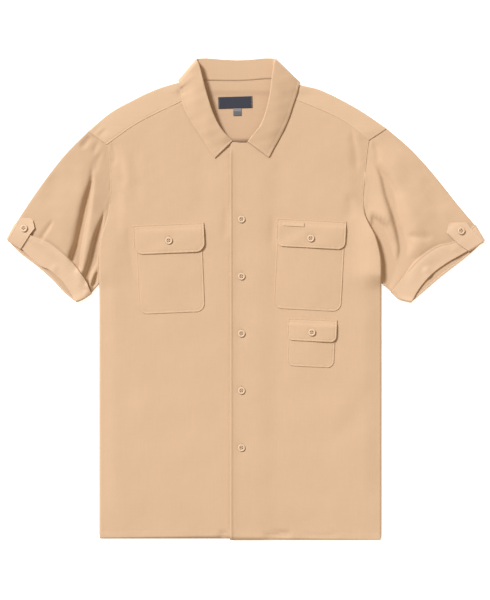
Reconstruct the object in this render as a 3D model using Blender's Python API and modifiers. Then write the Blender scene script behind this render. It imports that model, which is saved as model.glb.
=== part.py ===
"""Short-sleeve shirt, buttoned and laid flat on its back.

Sizes and places are in millimetres and turned to metres when a mesh is made.
X runs across the shirt to the wearer's left, Y towards the collar, Z up from the table.
Left and right are the wearer's. The heights are those of the middle of the cloth.
"""
import math

import bmesh
import bpy
import numpy as np
from mathutils import Vector

MM = 0.001

# Cloth: its thickness, the rise from layer to layer, the radius of a fold, a seam's gap
# and the angles of a fold seen from its end, from below to above
CLOTH = 1.0
STEP = 1.5
FOLD = 1.6
SEAM = 0.5
ARC = np.radians((-90, -45, 0, 45, 90))

# Body
HALF_BODY = 234.6
HEM_LEFT = -399.5
HEM_RIGHT = -396.5
HEM_BACK = -397.5
BACK_INSET = 2.3
SIDE_TURN = 4.5
ARMPIT = 25.0
PLACKET_EDGE = -17.3
UNDERLAP = 19.0
BODY_LOFT = 2 * FOLD

# Sleeves and cuffs
SLEEVE_LOFT = 5.5
CUFF_LOFT = 1.4
CUFF_DEPTH = 31.0
CUFF_UNDER = (0.86, 0.985)
SLEEVE_END = 3.1
CUFF_HEM_END = 2.6

# Buttons
BUTTON_RADIUS = 6.0
BUTTON_HEIGHT = 2.4
BUTTON_HOLE = 0.9
BUTTON_HOLE_SPREAD = 1.35
BUTTON_OFF = 0.35
BUTTON_X = 2.0
BUTTON_FIRST = 132.0
BUTTON_PITCH = 94.6
BUTTON_COUNT = 5

# Armholes, from the shoulder down to the armpit
ARMHOLES = {
    "right": [(-252.8, 277.6), (-236, 266.5), (-222, 255.5), (-217.5, 236), (-215.5, 190),
              (-217.5, 152), (-223, 129), (-233, 91), (-234.6, 56), (-234.6, 25)],
    "left": [(243.5, 282), (227, 273), (213.5, 262.5), (210.5, 240), (206.8, 202),
             (204, 164), (207, 139), (223, 106.5), (231, 78), (234.6, 49), (234.6, 26)],
}
# Point of the armhole where the yoke seam meets it
ARMHOLE_CORNER = 2
# Gap beside an armhole, across and down: of the body's edge and of the sleeve's
BODY_GAP = (0.2, 0.25)
SLEEVE_GAP = (0.35, 0.2)
# Places along an armhole where both cloths have their points, above and below that corner
ARM_ABOVE = [0.04, 0.085]
ARM_BELOW = [0.185, 0.25, 0.32, 0.40, 0.48, 0.56, 0.64, 0.72, 0.80, 0.87, 0.93, 0.968]
# Places across a front, from its inner edge, shared with the columns of the yoke
FRONT_ACROSS = np.array([0, 0.08, 0.17, 0.26, 0.36, 0.46, 0.56, 0.66, 0.76, 0.85, 0.93])
# Folded shoulder line of the yoke, from the armhole to the neck
SHOULDERS = {
    "right": [(-252.8, 277.6), (-213, 310.4), (-176.5, 330.3), (-156.5, 340.3),
              (-133.3, 349.8), (-116.7, 355), (-100, 359), (-74, 362.5)],
    "left": [(243.5, 282), (202, 310.4), (167, 330.3), (147, 340.3),
             (124, 349.4), (96, 355.2), (62, 365)],
}
# Where the back yoke seam passes below the neck's two sides, and the places of the yoke's
# points from that seam up to the neck
NECK_SIDE = {"right": -78.0, "left": 66.0}
YOKE_BACK_ROWS = np.array([0.0, 0.35, 0.62, 0.76, 0.88, 1.0])
# Seam between the yoke and the front, from the armhole to the neck
YOKE_SEAMS = {
    "right": [(-222, 255.5), (-170.3, 291.3), (-96, 328.5), (-79.5, 337)],
    "left": [(213.5, 262.5), (167.8, 297), (93.5, 330), (74, 338)],
}
# Rays of the collar, from the right end around the neck to the left end:
# neck seam x, y; fold x, y; outer edge x, y
COLLAR_RAYS = [
    (-21.2, 263.6, -12.6, 261.8, -42.2, 233.2),
    (-30.4, 267.8, -20.4, 268.6, -54.4, 251.7),
    (-45.3, 278.6, -32.0, 282.2, -68.6, 273.1),
    (-63.6, 299.0, -44.5, 306.3, -83.2, 295.1),
    (-78.6, 331.0, -54.6, 337.0, -96.8, 325.7),
    (-76.2, 349.0, -62.7, 366.9, -99.4, 345.3),
    (-73.6, 360.4, -69.0, 390.1, -100.8, 355.0),
    (-73.4, 362.3, -72.7, 396.4, -103.4, 362.4),
    (-67.0, 362.0, -68.4, 398.9, -94.5, 355.2),
    (-55.3, 362.2, -56.9, 399.4, -66.9, 352.6),
    (-30.4, 361.9, -30.4, 397.4, -33.7, 351.8),
    (-7.1, 361.7, -3.8, 396.2, -3.8, 351.6),
    (19.4, 363.0, 19.4, 397.4, 26.1, 351.8),
    (42.7, 364.8, 42.7, 399.4, 62.6, 352.6),
    (55.0, 364.9, 52.4, 399.2, 88.0, 354.2),
    (61.8, 365.4, 57.6, 397.6, 99.6, 359.2),
    (63.0, 362.4, 55.6, 390.1, 96.8, 352.0),
    (68.8, 347.5, 52.5, 368.5, 94.3, 342.0),
    (74.2, 331.0, 48.1, 335.3, 88.3, 323.7),
    (65.1, 302.6, 41.8, 308.8, 78.4, 294.6),
    (46.8, 281.0, 31.9, 285.5, 65.9, 268.1),
    (31.9, 267.8, 20.3, 270.6, 55.6, 249.8),
    (19.9, 261.2, 12.1, 260.2, 47.3, 234.2),
]
# Rise of the fold over the front below it, by rays from the collar's end
COLLAR_RISE = [(0, 2.6), (2, 3.9), (4, 4.3), (6, 3.8)]
# Where the yoke seam and the shoulder fold reach the neck, counted in rays from each end
RAY_YOKE = 4.33
RAY_SHOULDER = 6
RAY_BACK = 8
LAST_RAY = len(COLLAR_RAYS) - 1
BACK_RAYS = np.linspace(RAY_BACK, LAST_RAY - RAY_BACK, 11)
# Way out from the fold where the collar turns, the leaf's bulge and the wider gap there
TURN_OUT = {"right": (-0.756, 0.654), "left": (0.70, 0.71)}
COLLAR_BULGE = 0.6
TURN_SEAM = 1.0

# Sleeve edges as they lie: along the outer fold, along the underarm, across the top and
# the bottom of the turned-up cuff; then soft troughs as points, half-width, depth
SLEEVES = {
    "right": {
        "outer": [(-252.8, 277.6), (-289.3, 240.7), (-321, 201), (-349, 161), (-372.5, 124.8)],
        "outer_cuff": [(-372.5, 124.8), (-386.6, 98.4)],
        "inner": [(-234.6, 25), (-247, 10)],
        "inner_cuff": [(-247, 10), (-261, 0.5), (-272.7, -4.5)],
        "cuff_top": [(-372.5, 124.8), (-344.3, 104), (-327.8, 97.6), (-312.6, 89.5), (-294.8, 76),
                     (-278.2, 60.3), (-261.8, 39.8), (-252.8, 24.6), (-247, 10)],
        "hem_front": [(-386.6, 98.4), (-360.7, 82), (-343, 64), (-330.3, 54), (-317.6, 48.8),
                      (-304.9, 38.7), (-293.5, 28.4), (-282, 12), (-272.7, -4.5)],
        "hem_back": [(-386.6, 98.4), (-367.4, 78), (-335.3, 52.6), (-310, 29.7), (-291, 9.5),
                     (-272.7, -4.5)],
        "troughs": [
            ([(-248, 232), (-249, 198), (-256, 164), (-267, 116), (-279, 62)], 11, 6.0),
            ([(-226, 152), (-235, 120), (-244, 91), (-252, 59), (-259, 28)], 9, 6.0),
            ([(-305, 135), (-316, 118), (-327, 98), (-334, 84)], 12, 2.4),
        ],
    },
    "left": {
        "outer": [(243.5, 282), (280, 250.7), (308, 221), (333, 191), (356.5, 161), (388.4, 122.8)],
        "outer_cuff": [(388.4, 122.8), (404.2, 96.4)],
        "inner": [(234.6, 26), (250.2, 11.6)],
        "inner_cuff": [(250.2, 11.6), (265, 0), (284.2, -4.8)],
        "cuff_top": [(388.4, 122.8), (369.7, 106.2), (349.6, 93.3), (330.8, 89.8), (313.4, 81),
                     (290.2, 61.8), (266.8, 32.7), (250.2, 11.6)],
        "hem_front": [(404.2, 96.4), (371.7, 77), (339, 57.5), (313.4, 37.4), (293, 11.5),
                      (284.2, -4.8)],
        "hem_back": [(404.2, 96.4), (375.2, 70.1), (330.8, 35), (307.6, 15.3), (284.2, -4.8)],
        "troughs": [
            ([(212, 236), (230, 204), (238, 173), (251, 139), (260, 107), (267, 78), (263, 36)], 12, 6.0),
            ([(213.5, 150), (223, 122), (232, 95), (238, 63), (246, 27)], 8, 6.5),
            ([(272, 112), (287, 108), (304, 110), (320, 118)], 11, 2.2),
        ],
    },
}
# Tabs, in shares of the sleeve's width and of its length (1 at the cuff's top, 2 at its hem)
TABS = {
    "right": {"low": (0.014, 0.175), "high": (0.014, 0.175), "shoulder": (0.935, 0.93),
              "tip": (0.10, 0.885), "button": (0.095, 0.985)},
    "left": {"low": (0.012, 0.20), "high": (0.05, 0.235), "shoulder": (0.94, 0.90),
             "tip": (0.16, 0.865), "button": (0.13, 0.965)},
}
TAB_TIP_WIDTH = 0.03
TAB_INNER_SHARE = 0.84

# Pockets: which front, middle and top of the flap, tilt in degrees, flap width and depth,
# flap corner, bag width and depth below the flap's top, bag corner
POCKETS = {
    "right": ("right", -119.3, 124.0, 2.4, 117.5, 48.0, 15.0, 109.0, 147.0, 14.0),
    "left": ("left", 118.3, 130.8, -3.0, 115.0, 46.0, 12.0, 112.0, 149.0, 14.0),
    "small": ("left", 119.6, -33.3, -2.7, 81.5, 36.5, 9.0, 77.5, 79.0, 11.0),
}
POCKET_MOUTH = 14.0
POCKET_FULLNESS = 0.8
FLAP_BUTTON_SHARE = {"right": 0.57, "left": 0.66, "small": 0.60}
STRIP_CENTRE = (-29.5, 9.0)
STRIP_SIZE = (35.0, 6.2)

# Labels inside the yoke
LABEL_CENTRE = (-8.4, 326.0)
LABEL_SIZE = (56.5, 19.3)
LABEL_TILT = 1.7
LOOP_SIZE = (13.4, 12.0)

# Broad soft creases of the two fronts: points, half-width, depth
FRONT_CREASES = [
    ([(-205, 250), (-199, 215), (-188, 172)], 11, 0.9),
    ([(184, 275), (194, 233), (190, 190)], 11, 0.9),
    ([(-230, -60), (-200, -130), (-160, -185)], 18, 0.8),
    ([(228, -120), (196, -190), (150, -240)], 18, 0.8),
    ([(60, -300), (110, -330), (170, -322)], 16, 0.7),
]

# Colours
TAN = (0.77, 0.52, 0.33)
TAN_INSIDE = (0.66, 0.43, 0.27)
BUTTON_COLOUR = (0.95, 0.73, 0.52)
NAVY = (0.03, 0.035, 0.06)
PALE_GREY = (0.42, 0.42, 0.45)


def smooth(low, high, value):
    """Rise smoothly from 0 at low to 1 at high."""
    t = np.clip((np.asarray(value, float) - low) / (high - low), 0.0, 1.0)
    return t * t * (3.0 - 2.0 * t)


def mix(first, second, share):
    """Blend two values by a share from 0 to 1."""
    return first + (second - first) * share


def unit(vector):
    """Scale vectors to length 1."""
    vector = np.asarray(vector, float)
    return vector / np.linalg.norm(vector, axis=-1, keepdims=True)


def spline(knots, points):
    """Smooth line through points at given knots that never swings past them."""
    knots = np.array(knots, float)
    points = np.array(points, float)
    rates = np.diff(points, axis=0) / np.diff(knots)[:, None]
    before, after = rates[:-1], rates[1:]
    same_way = before * after > 0
    total = np.where(same_way, before + after, 1.0)
    inner = np.where(same_way, 2 * before * after / total, 0.0)
    slopes = np.concatenate([rates[:1], inner, rates[-1:]])

    def read(t):
        t = np.clip(np.asarray(t, float), knots[0], knots[-1])
        i = np.clip(np.searchsorted(knots, t, side="right") - 1, 0, len(knots) - 2)
        span = knots[i + 1] - knots[i]
        s = ((t - knots[i]) / span)[..., None]
        span = span[..., None]
        start = (2 * s**3 - 3 * s**2 + 1) * points[i] + (s**3 - 2 * s**2 + s) * span * slopes[i]
        end = (3 * s**2 - 2 * s**3) * points[i + 1] + (s**3 - s**2) * span * slopes[i + 1]
        return start + end

    return read


def curve(points):
    """Smooth line through points, read from 0 to 1 along its length."""
    points = np.array(points, float)
    steps = np.linalg.norm(np.diff(points, axis=0), axis=1)
    return spline(np.concatenate([[0.0], np.cumsum(steps)]) / steps.sum(), points)


def patch(top, bottom, left, right):
    """Flat surface between four edge lines, read by shares across and down."""
    top_left, top_right = top(0.0), top(1.0)
    bottom_left, bottom_right = bottom(0.0), bottom(1.0)

    def read(across, down):
        across, down = np.broadcast_arrays(np.asarray(across, float), np.asarray(down, float))
        u = across[..., None]
        v = down[..., None]
        between_ends = (1 - v) * top(across) + v * bottom(across)
        between_sides = (1 - u) * left(down) + u * right(down)
        corners = (1 - v) * ((1 - u) * top_left + u * top_right)
        corners = corners + v * ((1 - u) * bottom_left + u * bottom_right)
        return between_ends + between_sides - corners

    return read


def trough(x, y, path, half_width, depth):
    """Depth at a place of a soft trough along a path that fades out at both ends."""
    samples = 60
    line = curve(path)(np.linspace(0, 1, samples))
    away = np.hypot(np.asarray(x)[..., None] - line[:, 0], np.asarray(y)[..., None] - line[:, 1])
    along = away.argmin(axis=-1) / (samples - 1)
    fade = smooth(0.0, 0.2, along) * (1 - smooth(0.8, 1.0, along))
    return depth * fade * np.exp(-((away.min(axis=-1) / half_width) ** 2))


def with_height(plan, height):
    """Add a height to points of the plan."""
    return np.concatenate([plan, np.asarray(height)[..., None]], axis=-1)


def ground(x, y):
    """Height of the lowest cloth of the body: a layer higher over the collar's back."""
    over_collar = smooth(336, 347, y) * (1 - smooth(104, 126, np.abs(np.asarray(x) + 2)))
    return CLOTH / 2 + STEP * over_collar


def chest(x, y):
    """Height of the right front and of the yoke's front strips."""
    creases = sum(trough(x, y, *crease) for crease in FRONT_CREASES)
    flat = ground(x, y) + BODY_LOFT - creases
    side = np.clip(1 - (HALF_BODY - CLOTH / 2 - np.abs(x)) / SIDE_TURN, 0, 1)
    below_armpit = 1 - smooth(ARMPIT, ARMPIT + 40, y)
    edge = CLOTH / 2
    turned = edge + (flat - edge) * np.sqrt(np.clip(1 - side**2, 0, 1))
    return mix(flat, turned, below_armpit)


def front_height(side, x, y):
    """Height of a front: the left one passes over the right one at the button line."""
    overlap = STEP * (1 - smooth(UNDERLAP + 5, UNDERLAP + 45, x)) if side == "left" else 0.0
    return chest(x, y) + overlap


def material(name, colour, roughness):
    """Principled material of one piece."""
    made = bpy.data.materials.new(name)
    made.use_nodes = True
    shader = made.node_tree.nodes["Principled BSDF"]
    shader.inputs["Base Color"].default_value = (*colour, 1.0)
    shader.inputs["Roughness"].default_value = roughness
    shader.inputs["Metallic"].default_value = 0.0
    made.diffuse_color = (*colour, 1.0)
    return made


def place(name, data, colour, roughness=0.85):
    """Put a mesh or curve in the shirt's collection with its own material."""
    piece = bpy.data.objects.new(name, data)
    piece.data.materials.append(material(name, colour, roughness))
    bpy.data.collections["short_sleeve_shirt"].objects.link(piece)
    return piece


def sheet(name, rows, colour=TAN, closed=False, keep=None, thickness=CLOTH):
    """Join rows of points into one open surface and give it the cloth's thickness."""
    rows = np.asarray(rows, float) * MM
    count, width = rows.shape[:2]
    spans = width if closed else width - 1
    mesh = bmesh.new()
    grid = {}

    def corner(r, c):
        key = (r, c % width)
        if key not in grid:
            grid[key] = mesh.verts.new(rows[key])
        return grid[key]

    for r in range(count - 1):
        for c in range(spans):
            if keep is None or keep[r][c]:
                around = (corner(r, c), corner(r, c + 1), corner(r + 1, c + 1), corner(r + 1, c))
                mesh.faces.new(around).smooth = True
    data = bpy.data.meshes.new(name)
    mesh.to_mesh(data)
    mesh.free()
    piece = place(name, data, colour)
    solid = piece.modifiers.new("cloth", "SOLIDIFY")
    solid.thickness = thickness * MM
    solid.offset = 0.0
    return piece


# Neck seam and collar
READ_RAY = spline(np.arange(len(COLLAR_RAYS)), COLLAR_RAYS)


def over_front(number, plan):
    """Height of the front or yoke strip under a ray's point."""
    x, y = np.moveaxis(plan, -1, 0)
    on_left = np.asarray(number) > LAST_RAY / 2
    return np.where(on_left, front_height("left", x, y), front_height("right", x, y))


def ray(number):
    """Neck, fold and outer points of the collar at a ray number, and how far it is on top."""
    number = np.asarray(number, float)
    values = READ_RAY(number)
    neck, fold, outer = values[..., 0:2], values[..., 2:4], values[..., 4:6]
    nearer = np.minimum(number, LAST_RAY - number)
    turned = np.clip((nearer - RAY_SHOULDER) / (RAY_BACK - RAY_SHOULDER), 0, 1)
    on_top = 0.5 + 0.5 * np.cos(math.pi * turned)
    lowest = ground(*np.moveaxis(neck, -1, 0))
    neck_z = mix(lowest, over_front(number, neck), on_top)
    rise = np.interp(nearer, *zip(*COLLAR_RISE))
    fold_z = mix(CLOTH / 2 + STEP / 2, over_front(number, neck) + rise, on_top)
    outer_z = mix(CLOTH / 2, over_front(number, outer) + STEP + 0.2, on_top ** 1.5)
    return (with_height(neck, neck_z), with_height(fold, fold_z),
            with_height(outer, outer_z), on_top)


def from_end(side, number):
    """Ray number counted from the collar's end on one side."""
    return LAST_RAY - number if side == "left" else number


def neck_edge(number):
    """Edge of the cloth that is sewn to the collar, a seam's gap outside the neck seam."""
    number = np.asarray(number, float)
    neck, _, _, on_top = ray(number)
    nearest = np.where(number < LAST_RAY / 2, np.minimum(number, RAY_SHOULDER),
                       np.maximum(number, LAST_RAY - RAY_SHOULDER))
    along = unit(READ_RAY(nearest + 0.1)[..., :2] - READ_RAY(nearest - 0.1)[..., :2])
    outside = np.stack([-along[..., 1], along[..., 0]], -1)
    away = unit(mix(np.array((0.0, -1.0)), outside, on_top[..., None] ** 3))
    gap = SEAM + TURN_SEAM * 4 * on_top * (1 - on_top)
    return with_height(neck[..., :2] + gap[..., None] * away, neck[..., 2])


def build_collar():
    """One-piece collar: up from the neck seam, over the fold and down to its outer edge."""
    columns = np.unique(np.concatenate([
        np.linspace(0, RAY_SHOULDER, 13), np.linspace(RAY_SHOULDER, RAY_BACK, 5),
        BACK_RAYS, LAST_RAY - np.linspace(0, RAY_SHOULDER, 13),
        LAST_RAY - np.linspace(RAY_SHOULDER, RAY_BACK, 5)]).round(6))
    neck, fold, outer, on_top = ray(columns)
    on_left = (columns > LAST_RAY / 2)[:, None]
    plan_out = unit(np.where(on_left, TURN_OUT["left"], TURN_OUT["right"]))
    tilt = np.arcsin(2 * on_top - 1)
    out = np.stack([np.cos(tilt) * plan_out[:, 0], np.cos(tilt) * plan_out[:, 1], np.sin(tilt)], -1)
    towards = fold - (neck + outer) / 2
    towards[:, 2] *= 1 - on_top
    towards = unit(towards - (towards * out).sum(-1, keepdims=True) * out)
    radius = mix(0.75, 1.3, on_top)[:, None]
    centre = fold - radius * towards
    rows = []
    for share in (0.0, 0.35, 0.7):
        rows.append(mix(neck, centre - radius * out, share))
    for angle in ARC:
        rows.append(centre + radius * (math.sin(angle) * out + math.cos(angle) * towards))
    for share in (0.25, 0.5, 0.75, 1.0):
        leaf = mix(centre + radius * out, outer, share)
        leaf[:, 2] += COLLAR_BULGE * on_top * math.sin(math.pi * share)
        rows.append(leaf)
    sheet("collar", rows)


# Body
def arm_corner(side):
    """Place along the armhole of its corner with the yoke seam."""
    steps = np.linalg.norm(np.diff(np.array(ARMHOLES[side]), axis=0), axis=1)
    return steps[:ARMHOLE_CORNER].sum() / steps.sum()


def body_armhole(side, share):
    """Armhole edge of the body, a seam's gap inside the sleeve's."""
    inward = 1 if side == "right" else -1
    line = curve(ARMHOLES[side])(share) + (inward * BODY_GAP[0], BODY_GAP[1])
    limit = np.where(np.asarray(share) > 0.5, HALF_BODY - CLOTH / 2, 300)
    line[..., 0] = np.clip(line[..., 0], -limit, limit)
    return line


def build_back():
    """Back panel, flat on the table, from the hem to the yoke seam."""
    edge = HALF_BODY - BACK_INSET
    outline = [(-edge, HEM_BACK), (edge, HEM_BACK), (edge, ARMPIT)]
    for side in ("left", "right"):
        line = body_armhole(side, np.array(ARM_BELOW[::-2]))
        corner = body_armhole(side, arm_corner(side)) - (0, SEAM)
        points = [(np.clip(x, -edge, edge), y) for x, y in line] + [tuple(corner)]
        outline += points if side == "left" else points[::-1]
    outline.append((-edge, ARMPIT))
    data = bpy.data.curves.new("back", "CURVE")
    data.dimensions = "2D"
    data.fill_mode = "BOTH"
    data.extrude = CLOTH / 2 * MM
    line = data.splines.new("POLY")
    line.points.add(len(outline) - 1)
    for point, (x, y) in zip(line.points, outline):
        point.co = (x * MM, y * MM, 0.0, 1.0)
    line.use_cyclic_u = True
    piece = place("back", data, TAN)
    piece.location.z = CLOTH / 2 * MM


def yoke_column(back, edge, turned, front, plan=None):
    """One column of the yoke: under the neck, around the shoulder, down the front strip."""
    if plan is None:
        plan = mix(np.asarray(back), np.asarray(edge), YOKE_BACK_ROWS[:, None])
    flat = with_height(plan, ground(plan[:, 0], plan[:, 1]))
    return np.concatenate([flat, turned[1:], front])


def yoke_shoulder_column(side, share, back):
    """Column of the yoke across a shoulder, a share of the way from armhole to neck."""
    plan = None
    if share == 0:
        top = body_armhole(side, 0.0)
        strip = body_armhole(side, np.array([*ARM_ABOVE, arm_corner(side)]))
        plan = body_armhole(side, np.array([arm_corner(side), *ARM_ABOVE[::-1], 0.03, 0.02, 0.01]))
    else:
        top = curve(SHOULDERS[side])(share)
        seam = curve(YOKE_SEAMS[side])(share)
        strip = mix(top, seam + SEAM / 2 * unit(top - seam), np.array([[0.4], [0.7], [1.0]]))
    outward = unit(top - strip[-1])
    radius = (float(chest(*top)) - float(ground(*top))) / 2 if share else FOLD
    centre = top - radius * outward
    low, high = float(ground(*centre)), float(chest(*strip[0]))
    turned = [(*(centre + radius * math.cos(a) * outward),
               mix(low, high, 0.5 + 0.5 * math.sin(a))) for a in ARC]
    front = with_height(strip, chest(*strip.T))
    return yoke_column(back, centre, np.array(turned), front, plan)


def yoke_neck_column(side, back):
    """Column of the yoke that ends along the neck seam beside the shoulder fold."""
    turned = neck_edge(from_end(side, np.linspace(RAY_BACK, RAY_SHOULDER, len(ARC))))
    strip = mix(RAY_SHOULDER, RAY_YOKE + 0.02, np.array([0.33, 0.67, 1.0]))
    front = neck_edge(from_end(side, strip))
    return yoke_column(back, turned[0, :2], turned, front)


def build_yoke():
    """Yoke: under the neck from the back seam, over both shoulders to the front seams."""
    ends = [body_armhole(side, arm_corner(side)) for side in ("right", "left")]
    shoulder = [0.0, *(1 - FRONT_ACROSS[:0:-1])]

    def back_seam(x):
        return (x, mix(ends[0][1], ends[1][1], (x - ends[0][0]) / (ends[1][0] - ends[0][0])))

    def shoulder_columns(side):
        start = ends[0][0] if side == "right" else ends[1][0]
        return [yoke_shoulder_column(side, share, back_seam(mix(start, NECK_SIDE[side], share)))
                for share in shoulder]

    columns = shoulder_columns("right") + [yoke_neck_column("right", back_seam(NECK_SIDE["right"]))]
    first_neck = len(columns)
    blank = np.zeros((len(ARC) + 2, 3))
    for number in BACK_RAYS[1:-1]:
        share = (number - RAY_BACK) / (LAST_RAY - 2 * RAY_BACK)
        back = back_seam(mix(NECK_SIDE["right"], NECK_SIDE["left"], share))
        column = yoke_column(back, neck_edge(number)[:2], blank[:1], blank)
        columns.append(column)
    last_neck = len(columns)
    columns += [yoke_neck_column("left", back_seam(NECK_SIDE["left"]))] + shoulder_columns("left")[::-1]
    rows = np.array(columns).transpose(1, 0, 2)
    keep = np.ones((rows.shape[0] - 1, rows.shape[1] - 1), bool)
    keep[len(YOKE_BACK_ROWS) - 1:, first_neck - 1:last_neck] = False
    sheet("yoke", rows, keep=keep)


def front_edges(side):
    """Points down a front's inner edge and its outer edge, one pair for each row."""
    rays = np.array([RAY_YOKE - 0.03, 4, 3.5, 3, 2.5, 2, 1.5, 1, 0.5])
    inner = [tuple(p) for p in neck_edge(from_end(side, rays))[:, :2]]
    if side == "left":
        inner += [(20.3, 260.0), (2.0, 258.9), (-13.0, 260.4), (-16.4, 252.0), (PLACKET_EDGE, 236.0)]
        edge_x, hem = PLACKET_EDGE, HEM_LEFT
    else:
        inner += [(-19.6, 262.3), (-8.0, 258.0), (4.0, 256.6), (UNDERLAP, 255.4), (UNDERLAP, 236.0)]
        edge_x, hem = UNDERLAP, HEM_RIGHT
    outer = [tuple(body_armhole(side, arm_corner(side)) - (0, SEAM))]
    outer += [tuple(body_armhole(side, share)) for share in ARM_BELOW]
    sign = 1 if side == "left" else -1
    side_x = sign * (HALF_BODY - CLOTH / 2)
    outer += [(side_x, y) for y in np.linspace(ARMPIT, hem + 9, 11)]
    outer.append((side_x - sign * 1.8, hem))
    left_over = len(outer) - len(inner)
    inner += [(edge_x, y) for y in np.linspace(236.0, hem, left_over + 1)[1:]]
    return np.array(inner), np.array(outer), hem


def build_front(side):
    """One front, between the yoke seam, the armhole and side, the hem and its front edge."""
    inner, outer, hem = front_edges(side)
    width = np.linalg.norm(outer - inner, axis=1)[:, None]
    from_side = np.array([SIDE_TURN, SIDE_TURN * 0.3, SIDE_TURN * 0.07, 0.0])
    share = np.concatenate([np.repeat(FRONT_ACROSS[None, :], len(inner), 0),
                            1 - from_side / width], 1)
    plan = mix(inner[:, None, :], outer[:, None, :], share[..., None])
    seam = curve(YOKE_SEAMS[side])
    bow = seam(1 - share[0]) - mix(seam(1.0), seam(0.0), share[0][:, None])
    fade = np.clip(1 - np.arange(len(inner)) / 9.0, 0, 1)[:, None, None] ** 2
    plan = plan + bow[None] * fade
    plan[-1, :, 1] = hem + 1.2 * smooth(0.98, 1.0, share[-1])
    rows = with_height(plan, front_height(side, plan[..., 0], plan[..., 1]))
    sheet("front_" + side, rows)


# Pockets and flaps
def pocket_point(name, across, down):
    """Place on the shirt of a point given across and down from the middle of a flap's top."""
    _, x, y, tilt, *_ = POCKETS[name]
    c, s = math.cos(math.radians(tilt)), math.sin(math.radians(tilt))
    across, down = np.broadcast_arrays(np.asarray(across, float), np.asarray(down, float))
    return np.stack([x + across * c + down * s, y + across * s - down * c], -1)


def round_corners(width, depth, corner, down):
    """Points of a panel with its two lower corners rounded, at places down it."""
    across = np.linspace(-1, 1, 9)
    down = np.concatenate([down, depth - corner + corner * np.sin(np.radians((0, 30, 60, 90)))])
    past = np.clip(down - (depth - corner), 0, corner)
    half = width / 2 - corner + np.sqrt(corner**2 - past**2)
    return half[:, None] * across[None, :], np.repeat(down[:, None], len(across), 1)


def bag_height(name, across, down):
    """Height of a pocket bag, a little full in its middle."""
    side, _, _, _, _, _, _, width, depth, _ = POCKETS[name]
    x, y = np.moveaxis(pocket_point(name, across, down), -1, 0)
    full = np.clip(1 - (2 * across / width) ** 2, 0, 1) * np.sin(
        math.pi * np.clip(down / depth, 0, 1))
    return front_height(side, x, y) + STEP + POCKET_FULLNESS * full


def flap_height(name, across, down):
    """Height of a flap: on the front at its sewn top, over the pocket bag below."""
    side = POCKETS[name][0]
    x, y = np.moveaxis(pocket_point(name, across, down), -1, 0)
    on_bag = bag_height(name, across, down) + STEP
    return mix(front_height(side, x, y) + STEP, on_bag, smooth(0, POCKET_MOUTH - 3, down))


def build_pocket(name):
    """Pocket bag and the flap over it."""
    _, _, _, _, flap_width, flap_depth, flap_corner, bag_width, bag_depth, bag_corner = POCKETS[name]
    down = np.linspace(POCKET_MOUTH, bag_depth - bag_corner, 4)[:-1]
    s, t = round_corners(bag_width, bag_depth, bag_corner, down)
    sheet("pocket_" + name, with_height(pocket_point(name, s, t), bag_height(name, s, t)))
    down = np.array([0, 0.13, 0.26, 0.42]) * flap_depth
    s, t = round_corners(flap_width, flap_depth, flap_corner, down)
    sheet("flap_" + name, with_height(pocket_point(name, s, t), flap_height(name, s, t)))


def build_strip():
    """Narrow woven strip stitched on the left flap."""
    across, down = np.meshgrid(np.linspace(-0.5, 0.5, 6) * STRIP_SIZE[0] + STRIP_CENTRE[0],
                               np.linspace(-0.5, 0.5, 3) * STRIP_SIZE[1] + STRIP_CENTRE[1])
    height = flap_height("left", across, down) + STEP
    sheet("flap_strip", with_height(pocket_point("left", across, down), height))


def build_labels():
    """Neck label and the size loop below it, flat on the inside of the yoke."""
    c, s = math.cos(math.radians(LABEL_TILT)), math.sin(math.radians(LABEL_TILT))
    height = CLOTH / 2 + STEP
    for name, centre, size, colour in (
            ("neck_label", (0, 0), LABEL_SIZE, NAVY),
            ("size_loop", (3.0, -(LABEL_SIZE[1] + LOOP_SIZE[1]) / 2 - 0.3), LOOP_SIZE, PALE_GREY)):
        across, down = np.meshgrid(np.array((-0.5, 0.5)) * size[0] + centre[0],
                                   np.array((-0.5, 0.5)) * size[1] + centre[1])
        plan = np.stack([LABEL_CENTRE[0] + across * c - down * s,
                         LABEL_CENTRE[1] + across * s + down * c], -1)
        sheet(name, with_height(plan, np.full(across.shape, height)), colour)


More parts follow.
